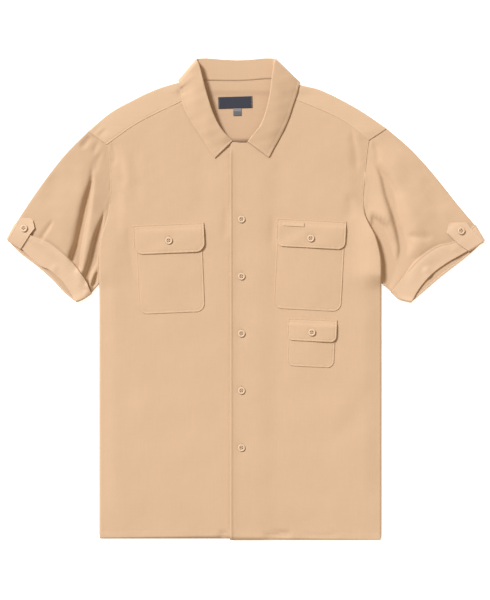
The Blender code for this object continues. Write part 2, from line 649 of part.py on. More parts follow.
# Sleeves, cuffs and tabs
class Sleeve:
    """A sleeve lying flat: two layers that share their outer fold and their underarm."""

    def __init__(self, side):
        table = SLEEVES[side]
        outward = -1 if side == "right" else 1
        armhole = [(x + outward * SLEEVE_GAP[0], y - SLEEVE_GAP[1]) for x, y in ARMHOLES[side]]
        outer = curve([armhole[0]] + table["outer"][1:])
        inner = curve([armhole[-1]] + table["inner"][1:])
        self.troughs = table["troughs"]
        self.armhole = curve(armhole)
        self.stations = [*ARM_ABOVE, arm_corner(side), *ARM_BELOW]
        self.cuff_top = curve(table["cuff_top"])
        self.upper = patch(self.armhole, self.cuff_top, outer, inner)
        ends = curve(table["outer_cuff"]), curve(table["inner_cuff"])
        self.cuff_front = patch(self.cuff_top, curve(table["hem_front"]), *ends)
        self.cuff_back = patch(self.cuff_top, curve(table["hem_back"]), *ends)

    def plan(self, across, down, layer):
        """Place of a point of the top or the bottom layer; down runs 0, 1 at the cuff, 2."""
        cuff = self.cuff_front if layer == "top" else self.cuff_back
        across, down = np.broadcast_arrays(np.asarray(across, float), np.asarray(down, float))
        above = self.upper(across, np.clip(down, 0, 1))
        below = cuff(across, np.clip(down - 1, 0, 1.2))
        return np.where((down <= 1)[..., None], above, below)

    def floor(self, down):
        """Height of the bottom layer: a layer higher where the cuff lies under it."""
        return CLOTH / 2 + STEP * smooth(*CUFF_UNDER, down)

    def height(self, across, down):
        """Height of the top layer, with its folds."""
        across, down = np.broadcast_arrays(np.asarray(across, float), np.asarray(down, float))
        x, y = np.moveaxis(self.plan(across, down, "top"), -1, 0)
        length = np.linalg.norm(self.armhole(across) - self.cuff_top(across), axis=-1)
        clear = smooth(0.0, 0.16, across) * smooth(0.0, 0.10, 1 - across)
        clear = clear * smooth(0.0, 14.0, down * length)
        in_cuff = smooth(0.75, 1.0, down)
        relief = sum(trough(x, y, *fold) for fold in self.troughs)
        lift = mix(SLEEVE_LOFT, CUFF_LOFT, in_cuff) - relief * mix(1.0, 0.4, in_cuff)
        return self.floor(down) + 2 * FOLD + clear * lift

    def ring(self, down, out=0.0):
        """Points once around the sleeve at each share down, moved out from its surface."""
        down = np.atleast_1d(np.asarray(down, float))[:, None]
        top = np.array(self.stations)[None, :]
        bottom = np.array(self.stations[:3] + self.stations[4::2])[None, ::-1]
        parts = []
        for end, angles in ((0.0, ARC[None, :]), (1.0, -ARC[None, :])):
            edge = self.plan(end, down, "top")
            inward = unit(self.plan(abs(end - 0.03), down, "top") - edge)
            radius = FOLD + out
            plan = edge + inward * FOLD - radius * np.cos(angles)[..., None] * inward
            height = self.floor(down) + FOLD + radius * np.sin(angles)
            parts.append(with_height(plan, height))
        upper = with_height(self.plan(top, down, "top"), self.height(top, down) + out)
        lower = with_height(self.plan(bottom, down, "back"),
                            self.floor(down) - out + 0 * bottom)
        return np.concatenate([parts[0], upper, parts[1], lower], axis=1)


def build_sleeve(side):
    """Sleeve, its turned-up cuff and the tab buttoned over the cuff."""
    sleeve = Sleeve(side)
    last = 2 - SLEEVE_END / CUFF_DEPTH
    down = np.array([0, 0.07, 0.15, 0.25, 0.37, 0.5, 0.62, 0.74, 0.84, 0.93, 1.0, 1.45, last])
    sheet("sleeve_" + side, sleeve.ring(down), closed=True)

    turn = 2 - STEP / 2 / CUFF_DEPTH
    outer = sleeve.ring(np.linspace(1, turn, 3), STEP)
    surface = sleeve.ring(turn)[0]
    ahead = unit(surface - sleeve.ring(turn - 0.05)[0])
    out = (outer[-1] - surface) / STEP
    centre = (outer[-1] + surface) / 2
    fold = [centre + STEP / 2 * (math.cos(a) * out + math.sin(a) * ahead)
            for a in np.radians((45, 90, 135))]
    inside = sleeve.ring(np.array([turn, 2 - CUFF_HEM_END / CUFF_DEPTH]))
    sheet("cuff_" + side, np.concatenate([outer, np.array(fold), inside]), closed=True)
    build_tab(side, sleeve, turn)


def tab_height(sleeve, across, down):
    """Height of a tab's top leg: over the cuff, then down on the sleeve at its point."""
    return sleeve.height(across, down) + mix(STEP, 2 * STEP, smooth(0.86, 0.93, down))


def build_tab(side, sleeve, turn):
    """Tab from inside the cuff around its hem and up to its buttoned point."""
    table = TABS[side]
    share = np.linspace(0, 1, 6)

    def limits(down):
        rise = np.clip((2 - down) / (2 - table["shoulder"][1]), 0, 1)
        return (mix(table["low"][0], table["high"][0], rise),
                mix(table["low"][1], table["high"][1], rise))

    rows = []
    for down in (1.6, 1.8, turn):
        first, last = limits(down)
        across = mix(last, mix(last, first, TAB_INNER_SHARE), share)
        height = sleeve.height(across, down) - STEP
        rows.append(with_height(sleeve.plan(across, down, "top"), height))
    first, last = limits(turn)
    across = mix(last, first, share)
    surface = with_height(sleeve.plan(across, turn, "top"), sleeve.height(across, turn))
    before = with_height(sleeve.plan(across, turn - 0.1, "top"), sleeve.height(across, turn))
    ahead = unit(surface - before)
    radius = 1.5 * STEP
    centre = surface + (0.0, 0.0, STEP / 2)
    for angle in np.radians((-45, 0, 45, 90)):
        rows.append(centre + radius * (math.cos(angle) * ahead + math.sin(angle) * np.array((0, 0, 1))))
    for step in (0.15, 0.3, 0.45, 0.6, 0.72, 0.84, 0.92, 1.0):
        ends = [mix(turn, shoulder, step) for shoulder in table["shoulder"]]
        down = mix(ends[1], ends[0], share)
        first, last = limits(float(np.mean(down)))
        across = mix(last, first, share)
        rows.append(with_height(sleeve.plan(across, down, "top"), tab_height(sleeve, across, down)))
    tip_across, tip_down = table["tip"]
    for step in (0.5, 1.0):
        across_tip = tip_across + TAB_TIP_WIDTH / 2 * (1 - 2 * share)
        across_now = mix(across, across_tip, step)
        down_now = mix(down, tip_down, step)
        rows.append(with_height(sleeve.plan(across_now, down_now, "top"),
                                tab_height(sleeve, across_now, down_now)))
    sheet("tab_" + side, rows)

    a, d = table["button"]
    spots = [with_height(sleeve.plan(p, q, "top"), tab_height(sleeve, p, q))
             for p, q in ((a, d), (a + 0.01, d), (a, d - 0.01))]
    normal = np.cross(spots[1] - spots[0], spots[2] - spots[0])
    build_button("button_tab_" + side, spots[0], normal if normal[2] > 0 else -normal)


# Buttons
def build_button(name, middle, normal):
    """Turned button with a raised rim and four holes, seated on the cloth below it."""
    lift = CLOTH / 2 + BUTTON_OFF
    profile = [(0.0, 0.0), (0.75, 0.0), (1.0, 0.35), (1.0, 0.75), (0.84, 1.0), (0.62, 0.76),
               (0.0, 0.72)]
    outline = [(r * BUTTON_RADIUS * MM, h * BUTTON_HEIGHT * MM) for r, h in profile][::-1]
    mesh = bmesh.new()
    points = [mesh.verts.new((r, 0.0, h)) for r, h in outline]
    for first, second in zip(points, points[1:]):
        mesh.edges.new((first, second))
    data = bpy.data.meshes.new(name)
    mesh.to_mesh(data)
    mesh.free()
    piece = place(name, data, BUTTON_COLOUR, 0.35)
    turn = piece.modifiers.new("turn", "SCREW")
    turn.steps = 12
    turn.render_steps = 12
    turn.use_merge_vertices = True
    turn.merge_threshold = 0.0001
    turn.use_normal_calculate = True
    holes = bpy.data.objects["button_holes"]
    drill = piece.modifiers.new("holes", "BOOLEAN")
    drill.operation = "DIFFERENCE"
    drill.solver = "EXACT"
    drill.object = holes.copy()
    bpy.data.collections["cutters"].objects.link(drill.object)
    drill.object.name = name + "_holes"
    rotation = Vector((0, 0, 1)).rotation_difference(Vector([float(n) for n in normal]))
    base = Vector([float(m) for m in middle]) + lift * Vector([float(n) for n in unit(normal)])
    for item in (piece, drill.object):
        item.rotation_mode = "QUATERNION"
        item.rotation_quaternion = rotation
        item.location = base * MM
        item.hide_render = item is not piece
    drill.object.display_type = "WIRE"


def build_hole_cutter():
    """Four pins that drill a button's holes."""
    mesh = bmesh.new()
    for x, y in ((1, 1), (-1, 1), (-1, -1), (1, -1)):
        pin = bmesh.ops.create_cone(mesh, cap_ends=True, segments=6, radius1=BUTTON_HOLE * MM,
                                    radius2=BUTTON_HOLE * MM, depth=4 * BUTTON_HEIGHT * MM)
        offset = Vector((x, y, 0)) * BUTTON_HOLE_SPREAD * MM
        bmesh.ops.translate(mesh, vec=offset, verts=pin["verts"])
    data = bpy.data.meshes.new("button_holes")
    mesh.to_mesh(data)
    mesh.free()
    cutter = bpy.data.objects.new("button_holes", data)
    cutter.hide_render = True
    cutter.display_type = "WIRE"
    bpy.data.collections["cutters"].objects.link(cutter)


def build_buttons():
    """Buttons of the front edge and of the pocket flaps."""
    for number in range(BUTTON_COUNT):
        y = BUTTON_FIRST - number * BUTTON_PITCH
        build_button(f"button_front_{number + 1}",
                     (BUTTON_X, y, float(front_height("left", BUTTON_X, y))), (0, 0, 1))
    for name, share in FLAP_BUTTON_SHARE.items():
        down = share * POCKETS[name][5]
        spots = [with_height(pocket_point(name, a, d), flap_height(name, np.array(a), np.array(d)))
                 for a, d in ((0, down), (3.0, down), (0, down - 3.0))]
        normal = np.cross(spots[1] - spots[0], spots[2] - spots[0])
        build_button("button_pocket_" + name, spots[0], normal)


def main():
    for item in list(bpy.data.objects):
        bpy.data.objects.remove(item, do_unlink=True)
    for name in ("short_sleeve_shirt", "cutters"):
        bpy.context.scene.collection.children.link(bpy.data.collections.new(name))
    build_hole_cutter()
    build_back()
    build_yoke()
    for side in ("right", "left"):
        build_front(side)
    build_collar()
    for name in POCKETS:
        build_pocket(name)
    build_strip()
    build_labels()
    for side in ("right", "left"):
        build_sleeve(side)
    build_buttons()


main()
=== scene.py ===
"""Short-sleeve shirt, buttoned and laid flat on its back: cloth, sewing, buttons and light.

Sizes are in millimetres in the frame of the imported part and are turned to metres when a
piece is made: X to the wearer's left, Y towards the collar, Z up from the table.
"""
import math

import bmesh
import bpy
import numpy as np
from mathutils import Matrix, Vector


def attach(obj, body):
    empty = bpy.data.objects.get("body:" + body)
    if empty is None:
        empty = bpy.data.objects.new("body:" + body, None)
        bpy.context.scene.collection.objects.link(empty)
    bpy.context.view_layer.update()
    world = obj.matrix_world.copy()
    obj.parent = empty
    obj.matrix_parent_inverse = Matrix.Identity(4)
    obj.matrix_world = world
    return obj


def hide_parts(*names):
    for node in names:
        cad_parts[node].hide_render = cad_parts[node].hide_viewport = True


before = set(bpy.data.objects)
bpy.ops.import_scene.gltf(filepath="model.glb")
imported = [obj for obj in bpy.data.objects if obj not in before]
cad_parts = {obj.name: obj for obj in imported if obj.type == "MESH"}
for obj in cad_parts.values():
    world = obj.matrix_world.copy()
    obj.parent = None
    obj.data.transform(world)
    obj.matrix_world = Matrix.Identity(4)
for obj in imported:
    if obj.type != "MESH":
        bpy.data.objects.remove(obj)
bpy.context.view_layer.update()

MM = 0.001

# Cloth: its thickness here, the middle of the lowest layer, the rise from layer to layer, the
# radius of a fold, how far an edge is tucked under its neighbour, and the thickness where two
# layers are sewn together
CLOTH = 0.7
LOWEST = 0.5
LAYER = 1.5
FOLD = 1.6
LAP = 5.0
DOUBLED = 1.0

# The wearer's sides, the way each one lies from the middle, and the way up
SIDES = ("right", "left")
SIGN = {"right": -1, "left": 1}
UP = np.array((0.0, 0.0, 1.0))

# Body
HALF_BODY = 234.6
HEM_LEFT = -399.5
HEM_RIGHT = -396.5
HEM_BACK = -397.5
HEM_DEPTH = 11.0
SIDE_TURN = 3.4
ARMPIT = 25.0
PLACKET_EDGE = -17.3
PLACKET_STITCH = 5.5
SEAM_STITCH = 2.2
UNDERLAP = 19.0
BODY_LOFT = 2 * FOLD
CHEST_FULLNESS = 2.4
HEM_SINK = 1.1
ARM_CREST = {"right": 3.0, "left": 11.0}

# Sleeves and cuffs; the last two say how far above a cuff's lower edge the sleeve ends in it and
# the rows of the hem turned into it lie
SLEEVE_LOFT = 8.6
CUFF_LOFT = {"right": 2.0, "left": 0.8}
HEM_LOFT = {"right": -2.0, "left": -2.2}
SETTLES = {"right": ((0.97, 1.55), (0.97, 1.55)), "left": ((0.66, 1.04), (0.80, 1.02))}
CUFF_DEPTH = 31.0
SLEEVE_END = 3.1
CUFF_HEM = np.array([0.75, 1.7, 2.8, 3.04])

# Buttons: their size and holes, their seat over the cloth, their places down the front, how the
# holes of each one there are turned in degrees, and the length of a buttonhole
BUTTON_RADIUS = 6.0
BUTTON_HEIGHT = 2.3
BUTTON_HOLE = 0.9
BUTTON_SPREAD = 1.55
BUTTON_OFF = 0.6
BUTTON_DIMPLE = 1.4
BUTTON_X = 2.0
BUTTON_FIRST = 132.0
BUTTON_PITCH = 94.6
BUTTON_TURNS = (8, -12, 20, -5, 14)
BUTTONHOLE = 15.0

# Distances from a sewn edge at which a panel has its points
NEAR_EDGE = np.array([0.0, 0.5, 1.0, 1.6, 2.2, 2.8, 3.6, 4.6, 5.8, 7.2, 9.0])

# Armholes, from the shoulder down to the armpit
ARMHOLES = {
    "right": [(-252.8, 277.6), (-236, 266.5), (-222, 255.5), (-217.5, 236), (-215.5, 190),
              (-217.5, 152), (-223, 129), (-233, 91), (-234.6, 56), (-234.6, 25)],
    "left": [(243.5, 282), (227, 273), (213.5, 262.5), (210.5, 240), (206.8, 202),
             (204, 164), (207, 139), (223, 106.5), (231, 78), (234.6, 49), (234.6, 26)],
}
ARMHOLE_CORNER = 2
# Folded shoulder line of the yoke, from the armhole to the neck
SHOULDERS = {
    "right": [(-252.8, 277.6), (-213, 310.4), (-176.5, 330.3), (-156.5, 340.3),
              (-133.3, 349.8), (-116.7, 355), (-100, 359), (-74, 362.5)],
    "left": [(243.5, 282), (202, 310.4), (167, 330.3), (147, 340.3),
             (124, 349.4), (96, 355.2), (62, 365)],
}
# Seam between the yoke and the front, from the armhole to the neck
YOKE_SEAMS = {
    "right": [(-222, 255.5), (-170.3, 291.3), (-96, 328.5), (-79.5, 337)],
    "left": [(213.5, 262.5), (167.8, 297), (93.5, 330), (74, 338)],
}
NECK_SIDE = {"right": -78.0, "left": 66.0}
# Rays of the collar, from the right end around the neck to the left end:
# neck seam x, y; fold x, y; outer edge x, y
COLLAR_RAYS = [
    (-21.2, 263.6, -12.6, 261.8, -42.2, 233.2),
    (-30.4, 267.8, -20.4, 268.6, -54.4, 251.7),
    (-45.3, 278.6, -32.0, 282.2, -68.6, 273.1),
    (-63.6, 299.0, -44.5, 306.3, -83.2, 295.1),
    (-78.6, 331.0, -54.6, 337.0, -96.8, 325.7),
    (-76.2, 349.0, -62.7, 366.9, -99.4, 345.3),
    (-73.6, 360.4, -69.0, 390.1, -100.8, 355.0),
    (-73.4, 362.3, -72.7, 396.4, -103.4, 362.4),
    (-67.0, 362.0, -68.4, 398.9, -94.5, 355.2),
    (-55.3, 362.2, -56.9, 399.4, -66.9, 352.6),
    (-30.4, 361.9, -30.4, 397.4, -33.7, 351.8),
    (-7.1, 361.7, -3.8, 396.2, -3.8, 351.6),
    (19.4, 363.0, 19.4, 397.4, 26.1, 351.8),
    (42.7, 364.8, 42.7, 399.4, 62.6, 352.6),
    (55.0, 364.9, 52.4, 399.2, 88.0, 354.2),
    (61.8, 365.4, 57.6, 397.6, 99.6, 359.2),
    (63.0, 362.4, 55.6, 390.1, 96.8, 352.0),
    (68.8, 347.5, 52.5, 368.5, 94.3, 342.0),
    (74.2, 331.0, 48.1, 335.3, 88.3, 323.7),
    (65.1, 302.6, 41.8, 308.8, 78.4, 294.6),
    (46.8, 281.0, 31.9, 285.5, 65.9, 268.1),
    (31.9, 267.8, 20.3, 270.6, 55.6, 249.8),
    (19.9, 261.2, 12.1, 260.2, 47.3, 234.2),
]
# Rise of the fold over the front below it, by rays from the collar's end; bulge of the leaf, its
# edge's height over the cloth below, its stitches, and the way out where the collar turns
COLLAR_RISE = [(0, 1.9), (2, 6.2), (4, 9.0), (6, 8.0)]
COLLAR_BULGE = 1.6
COLLAR_OFF = 0.4
COLLAR_STITCH = 5.0
TURN_OUT = {"right": (-0.756, 0.654), "left": (0.70, 0.71)}
# Where the yoke seam, the shoulder fold and the back of the neck begin, counted in rays
RAY_YOKE = 4.33
RAY_SHOULDER = 6
RAY_BACK = 8
LAST_RAY = len(COLLAR_RAYS) - 1

# Sleeve edges as they lie; then creases (depth above 0) and ridges (below 0) of the upper
# layer: points, half-widths to the left and right of them, depth, fades at the two ends
SLEEVES = {
    "right": {
        "outer": [(-289.3, 240.7), (-321, 201), (-349, 161), (-372.5, 124.8)],
        "inner_cuff": [(-247, 10), (-261, 0.5), (-272.7, -4.5)],
        "cuff_top": [(-372.5, 124.8), (-344.3, 104), (-327.8, 97.6), (-312.6, 89.5), (-294.8, 76),
                     (-278.2, 60.3), (-261.8, 39.8), (-252.8, 24.6), (-247, 10)],
        "hem_front": [(-386.6, 98.4), (-360.7, 82), (-343, 64), (-330.3, 54), (-317.6, 48.8),
                      (-304.9, 38.7), (-293.5, 28.4), (-282, 12), (-272.7, -4.5)],
        "hem_back": [(-386.6, 98.4), (-367.4, 78), (-335.3, 52.6), (-310, 29.7), (-291, 9.5),
                     (-272.7, -4.5)],
        "folds": [
            ([(-245, 232), (-246, 198), (-252, 163.7), (-261, 116), (-268, 76), (-270, 54)],
             (5.0, 7.5), 15.0, (0.5, 0)),
            ([(-224, 152), (-231, 122), (-238, 94), (-245, 62), (-254, 34), (-257, 18)],
             (5.0, 6.0), 15.0, (0.45, 0)),
            ([(-268, 104), (-271.5, 84), (-276, 64)], (4, 6), 8.0, (0.8, 0)),
            ([(-262, 210), (-272, 160), (-290, 104)], (14, 20), -1.2),
            ([(-308, 134), (-317, 118), (-326, 104), (-335, 84)], (3, 5), 2.2),
            ([(-304, 58), (-311, 46), (-317, 36)], (7, 7), -5.0),
            ([(-247, 272), (-256, 260), (-265, 248)], (3.5, 5), 4.0),
            ([(-233, 262), (-240, 250), (-243, 238)], (3, 4), 1.8),
            ([(-228, 246), (-238, 226), (-242, 204)], (4, 6), 1.2),
            ([(-235.5, 98), (-237.5, 86), (-236.5, 74)], (3.5, 3), 6.0),
            ([(-236, 46), (-239, 34), (-242, 24)], (3.5, 3.5), 6.0, (0.3, 0)),
            ([(-300, 215), (-312, 176), (-318, 150)], (18, 14), 1.2),
        ],
    },
    "left": {
        "outer": [(280, 250.7), (308, 221), (333, 191), (356.5, 161), (388.4, 122.8)],
        "inner_cuff": [(250.2, 11.6), (265, 0), (284.2, -4.8)],
        "cuff_top": [(388.4, 122.8), (369.7, 106.2), (349.6, 93.3), (330.8, 89.8), (313.4, 81),
                     (290.2, 61.8), (266.8, 32.7), (250.2, 11.6)],
        "hem_front": [(404.2, 96.4), (371.7, 77), (339, 57.5), (313.4, 37.4), (293, 11.5),
                      (284.2, -4.8)],
        "hem_back": [(404.2, 96.4), (375.2, 70.1), (330.8, 35), (307.6, 15.3), (284.2, -4.8)],
        "folds": [
            ([(215, 234), (229, 216), (239, 196), (246, 174), (256, 140), (265, 108), (270, 80),
              (268, 52), (262, 26)], (16, 7), 12.0, (0.35, 0)),
            ([(217, 146), (226, 120), (234, 97), (241, 74), (245.5, 50), (249, 32), (253, 12)],
             (19, 9), 16.0, (0.25, 0)),
            ([(262, 190), (278, 150), (288, 105)], (20, 16), -1.2),
            ([(272, 108), (287, 103), (304, 102), (322, 106)], (8, 6), 2.0),
            ([(304, 54), (311, 43), (318, 32)], (7, 7), -9.0),
            ([(350, 88), (358, 74), (364, 64)], (7, 7), -3.0),
            ([(219, 262), (226, 244), (229, 222)], (6, 3.5), 1.2),
            ([(226, 220), (240, 200), (252, 176)], (5, 5), 0.8),
            ([(300, 205), (322, 168), (330, 136)], (18, 14), 1.2),
        ],
    },
}
# Tabs, in shares of the sleeve's width and of its length (1 at the cuff's top, 2 at its hem),
# and the turn of the button's holes in degrees
TABS = {
    "right": {"low": (0.014, 0.175), "high": (0.014, 0.175), "shoulder": (0.935, 0.93),
              "tip": (0.10, 0.885), "button": (0.095, 0.985), "turn": -50},
    "left": {"low": (0.012, 0.20), "high": (0.05, 0.235), "shoulder": (0.94, 0.90),
             "tip": (0.16, 0.865), "button": (0.13, 0.965), "turn": 40},
}
TAB_INNER_SHARE = 0.84
TAB_TIP_WIDTH = 0.03
TAB_WIDTH = 36.0
TAB_POINT = 12.0

# Pockets: which front, middle and top of the flap, tilt in degrees, flap width and depth,
# flap corner, bag width and depth below the flap's top, bag corner
POCKETS = {
    "right": ("right", -119.3, 124.0, 2.4, 117.5, 48.0, 15.0, 109.0, 147.0, 14.0),
    "left": ("left", 118.3, 130.8, -3.0, 115.0, 46.0, 12.0, 112.0, 149.0, 14.0),
    "small": ("left", 119.6, -33.3, -2.7, 81.5, 36.5, 9.0, 77.5, 79.0, 11.0),
}
# Heights: a bag over its front, a flap over its front and over its bag, the strip on its flap
BAG_OFF = 0.75
FLAP_TOP_OFF = 1.0
FLAP_BAG_OFF = 0.95
STRIP_OFF = 1.0
POCKET_MOUTH = 10.0
POCKET_FULLNESS = 1.4
FLAP_OFF = 0.2
FLAP_EAST = 1.1
FLAP_BUTTON_SHARE = {"right": 0.57, "left": 0.66, "small": 0.60}
EDGE_STITCH = 2.4
FLAP_SECOND_STITCH = 6.8
STRIP_CENTRE = (-29.5, 9.0)
STRIP_SIZE = (35.0, 6.2)

# Labels inside the yoke
LABEL_CENTRE = (-8.4, 326.0)
LABEL_SIZE = (56.5, 19.3)
LABEL_TILT = 1.7
LOOP_SIZE = (13.4, 12.0)
LABEL_OFF = 1.0

# Soft creases and ridges of the two fronts, written like those of the sleeves
FRONT_CREASES = [
    ([(-214, 262), (-208, 240), (-211, 216)], (4, 6), 1.2),
    ([(-222, 283), (-228, 276), (-236, 267)], (2.5, 3), 2.0),
    ([(-231, 288), (-238, 281), (-245, 272)], (2.5, 3), 1.6),
    ([(-205, 252), (-198, 222), (-194, 178)], (6, 9), 1.1),
    ([(-101, 351), (-99.5, 344), (-101, 334)], (2.2, 3), 2.0),
    ([(-180, 254), (-172, 210), (-170, 160)], (10, 10), 0.8),
    ([(-208, 196), (-203, 150), (-206, 96)], (9, 9), 0.8),
    ([(183, 284), (191, 244), (194, 206)], (5, 8), 1.6),
    ([(180, 178), (182, 150), (178, 126)], (8, 8), 1.1),
    ([(55, 142), (55, 112), (50, 82)], (5, 7), 1.3),
    ([(-23, 160), (-22, 130), (-24, 96)], (4, 7), 1.2),
    ([(-185, 136), (-181, 80), (-172, 22)], (4, 7), 0.9),
    ([(-230, -60), (-200, -130), (-160, -185)], (18, 18), 0.9),
    ([(228, -120), (196, -190), (150, -240)], (18, 18), 0.9),
    ([(38, -394), (60, -391), (90, -389)], (3, 3.4), 3.2, (0.2, 0.3)),
    ([(-38, -390), (-28, -391), (-18, -391.5)], (3, 3), 3.0),
    ([(96, -388), (130, -392), (170, -391)], (3, 5), 0.8),
    ([(60, -300), (110, -330), (170, -322)], (16, 16), 0.7),
    ([(-60, 250), (-66, 180), (-58, 110)], (16, 16), 0.6),
    ([(62, 240), (70, 190), (60, 150)], (16, 16), 0.6),
]

# Colours of the finishes
TAN = (0.600, 0.402, 0.247)
# Darker copy of the tan for the right sleeve: painted shade that tones down the light on its slopes
TAN_SLEEVE_PAINTED_SHADE = (0.572, 0.383, 0.236)
TAN_LIGHT = (0.628, 0.428, 0.268)
# Paler copy of the tan for the cuffs: partly their own paler look, partly painted light for cuff slopes
# facing away from the light
TAN_PALE_PART_PAINTED_LIGHT = (0.665, 0.458, 0.295)
# Darker tan painted as shade on the yoke's lowest cloth, the inner back seen in the neck
TAN_PAINTED_SHADE_INSIDE = (0.575, 0.380, 0.232)
TAN_DARK = (0.420, 0.275, 0.165)
# Dark brown painted on a button's outer edge as the shade around it
BUTTON_EDGE_SHADE = (0.300, 0.190, 0.110)
THREAD = (0.700, 0.500, 0.330)
BUTTON_RIM = (0.750, 0.555, 0.375)
BUTTON_MIDDLE = (0.560, 0.385, 0.240)
NAVY = (0.026, 0.029, 0.044)
GREY = (0.120, 0.120, 0.118)
GREY_PALE = (0.235, 0.215, 0.220)

# Light, floor and camera, in metres
SKY = (1.0, 0.86, 0.69, 1.0)
SKY_STRENGTH = 0.52
WINDOW = (0.84, 0.90, 1.0)
WINDOW_STRENGTH = 4.4
WINDOW_SPREAD = 14.0
WINDOW_WAY = (1.6, -1.5, -1.9)
FLOOR_HALF = 6.0
FLOOR_DROP = -0.0004
CAMERA_PLACE = (0.0078, -0.0017, 2.767)
CAMERA_LENS = 100.0


# Numbers and lines
def smooth(low, high, value):
    """Rise smoothly from 0 at low to 1 at high."""
    t = np.clip((np.asarray(value, float) - low) / (high - low), 0.0, 1.0)
    return t * t * (3.0 - 2.0 * t)


def mix(first, second, share):
    """Blend two values by a share from 0 to 1."""
    return first + (second - first) * share


def hump(value, middle, half_width):
    """Soft bump of height 1 around a middle."""
    return np.exp(-(((np.asarray(value) - middle) / half_width) ** 2))


def unit(vector):
    """Scale vectors to length 1."""
    vector = np.asarray(vector, float)
    return vector / np.maximum(np.linalg.norm(vector, axis=-1, keepdims=True), 1e-9)


def rotated(across, up, degrees):
    """Turn places on the plan about the origin."""
    c, s = math.cos(math.radians(degrees)), math.sin(math.radians(degrees))
    return across * c - up * s, across * s + up * c


def swung(angle, first, second):
    """Way that turns from a first way, at angle 0, towards a second one."""
    return math.cos(angle) * first + math.sin(angle) * second


def spline(knots, points):
    """Smooth line through points at given knots that never swings past them."""
    knots = np.array(knots, float)
    points = np.array(points, float)
    rates = np.diff(points, axis=0) / np.diff(knots)[:, None]
    before, after = rates[:-1], rates[1:]
    same_way = before * after > 0
    total = np.where(same_way, before + after, 1.0)
    inner = np.where(same_way, 2 * before * after / total, 0.0)
    slopes = np.concatenate([rates[:1], inner, rates[-1:]])

    def read(t):
        t = np.clip(np.asarray(t, float), knots[0], knots[-1])
        i = np.clip(np.searchsorted(knots, t, side="right") - 1, 0, len(knots) - 2)
        span = knots[i + 1] - knots[i]
        s = ((t - knots[i]) / span)[..., None]
        span = span[..., None]
        start = (2 * s**3 - 3 * s**2 + 1) * points[i] + (s**3 - 2 * s**2 + s) * span * slopes[i]
        end = (3 * s**2 - 2 * s**3) * points[i + 1] + (s**3 - s**2) * span * slopes[i + 1]
        return start + end

    return read


def curve(points):
    """Smooth line through points, read from 0 to 1 along its length."""
    points = np.array(points, float)
    steps = np.linalg.norm(np.diff(points, axis=0), axis=1)
    return spline(np.concatenate([[0.0], np.cumsum(steps)]) / steps.sum(), points)


def patch(top, bottom, left, right):
    """Flat surface between four edge lines, read by shares across and down."""
    top_left, top_right = top(0.0), top(1.0)
    bottom_left, bottom_right = bottom(0.0), bottom(1.0)

    def read(across, down):
        across, down = np.broadcast_arrays(np.asarray(across, float), np.asarray(down, float))
        u = across[..., None]
        v = down[..., None]
        between_ends = (1 - v) * top(across) + v * bottom(across)
        between_sides = (1 - u) * left(down) + u * right(down)
        corners = (1 - v) * ((1 - u) * top_left + u * top_right)
        corners = corners + v * ((1 - u) * bottom_left + u * bottom_right)
        return between_ends + between_sides - corners

    return read


def spaced(length, count, first=True, last=True):
    """Places across a panel, close together by its sewn edges. Length may be an array."""
    length = np.asarray(length, float)[..., None]
    near = NEAR_EDGE + 0 * length
    low = NEAR_EDGE[-1] if first else 0.0
    high = length - (NEAR_EDGE[-1] if last else 0.0)
    parts = [mix(low, high, np.linspace(0, 1, count))]
    if first:
        parts.insert(0, near[..., :-1])
    if last:
        parts.append(length - near[..., -2::-1])
    return np.concatenate(parts, -1)


def trough(x, y, path, widths, depth, fades=(0.3, 0.3)):
    """Depth of a crease: half-widths to the left and right of its path, depth, end fades."""
    samples = 60
    line = curve(path)(np.linspace(0, 1, samples))
    from_x = np.asarray(x)[..., None] - line[:, 0]
    from_y = np.asarray(y)[..., None] - line[:, 1]
    away = np.hypot(from_x, from_y)
    nearest = away.argmin(axis=-1)[..., None]
    ahead = np.gradient(line, axis=0)[nearest[..., 0]]
    offset = [np.take_along_axis(part, nearest, -1)[..., 0] for part in (from_x, from_y)]
    to_left = ahead[..., 0] * offset[1] - ahead[..., 1] * offset[0] > 0
    along = nearest[..., 0] / (samples - 1)
    fade = smooth(0.0, fades[0], along) if fades[0] else 1.0
    fade = fade * (1 - smooth(1 - fades[1], 1.0, along)) if fades[1] else fade
    half_width = np.where(to_left, *widths) * (0.4 + 0.6 * fade) * (0.75 + 0.5 * along)
    return depth * fade * np.exp(-((away.min(axis=-1) / half_width) ** 2))


def rumple(x, y, size, seed):
    """Uneven soft swell between about -1 and 1."""
    chance = np.random.default_rng(seed)
    total = 0.0
    for turn, stretch, shift in chance.uniform((0, 0.6, 0), (math.pi, 1.7, 2 * math.pi), (7, 3)):
        total = total + np.sin((x * math.cos(turn) + y * math.sin(turn)) * 2 * math.pi
                               / (size * stretch) + shift)
    return total / 3.5


def pucker(x, y, distance, seed, reach=4.0):
    """Small uneven gathers beside a line of stitches."""
    return rumple(x, y, 7.0, seed) * np.exp(-((np.asarray(distance) / reach) ** 2))


def rim(distance, stitch=EDGE_STITCH, roll=0.35, dip=0.32):
    """Relief of a stitched edge: a soft roll along the edge and a dip under the thread."""
    return roll * hump(distance, 0.45 * stitch, 0.5 * stitch) - dip * hump(distance, stitch, 0.75)


def with_height(plan, height):
    """Add a height to points of the plan."""
    return np.concatenate([plan, np.broadcast_to(height, plan.shape[:-1])[..., None]], axis=-1)


# Heights of the body's layers
def ground(x, y):
    """Height of the lowest cloth of the body: a layer higher over the collar's back."""
    over_collar = smooth(336, 347, y) * (1 - smooth(104, 126, np.abs(np.asarray(x) + 2)))
    return LOWEST + LAYER * over_collar


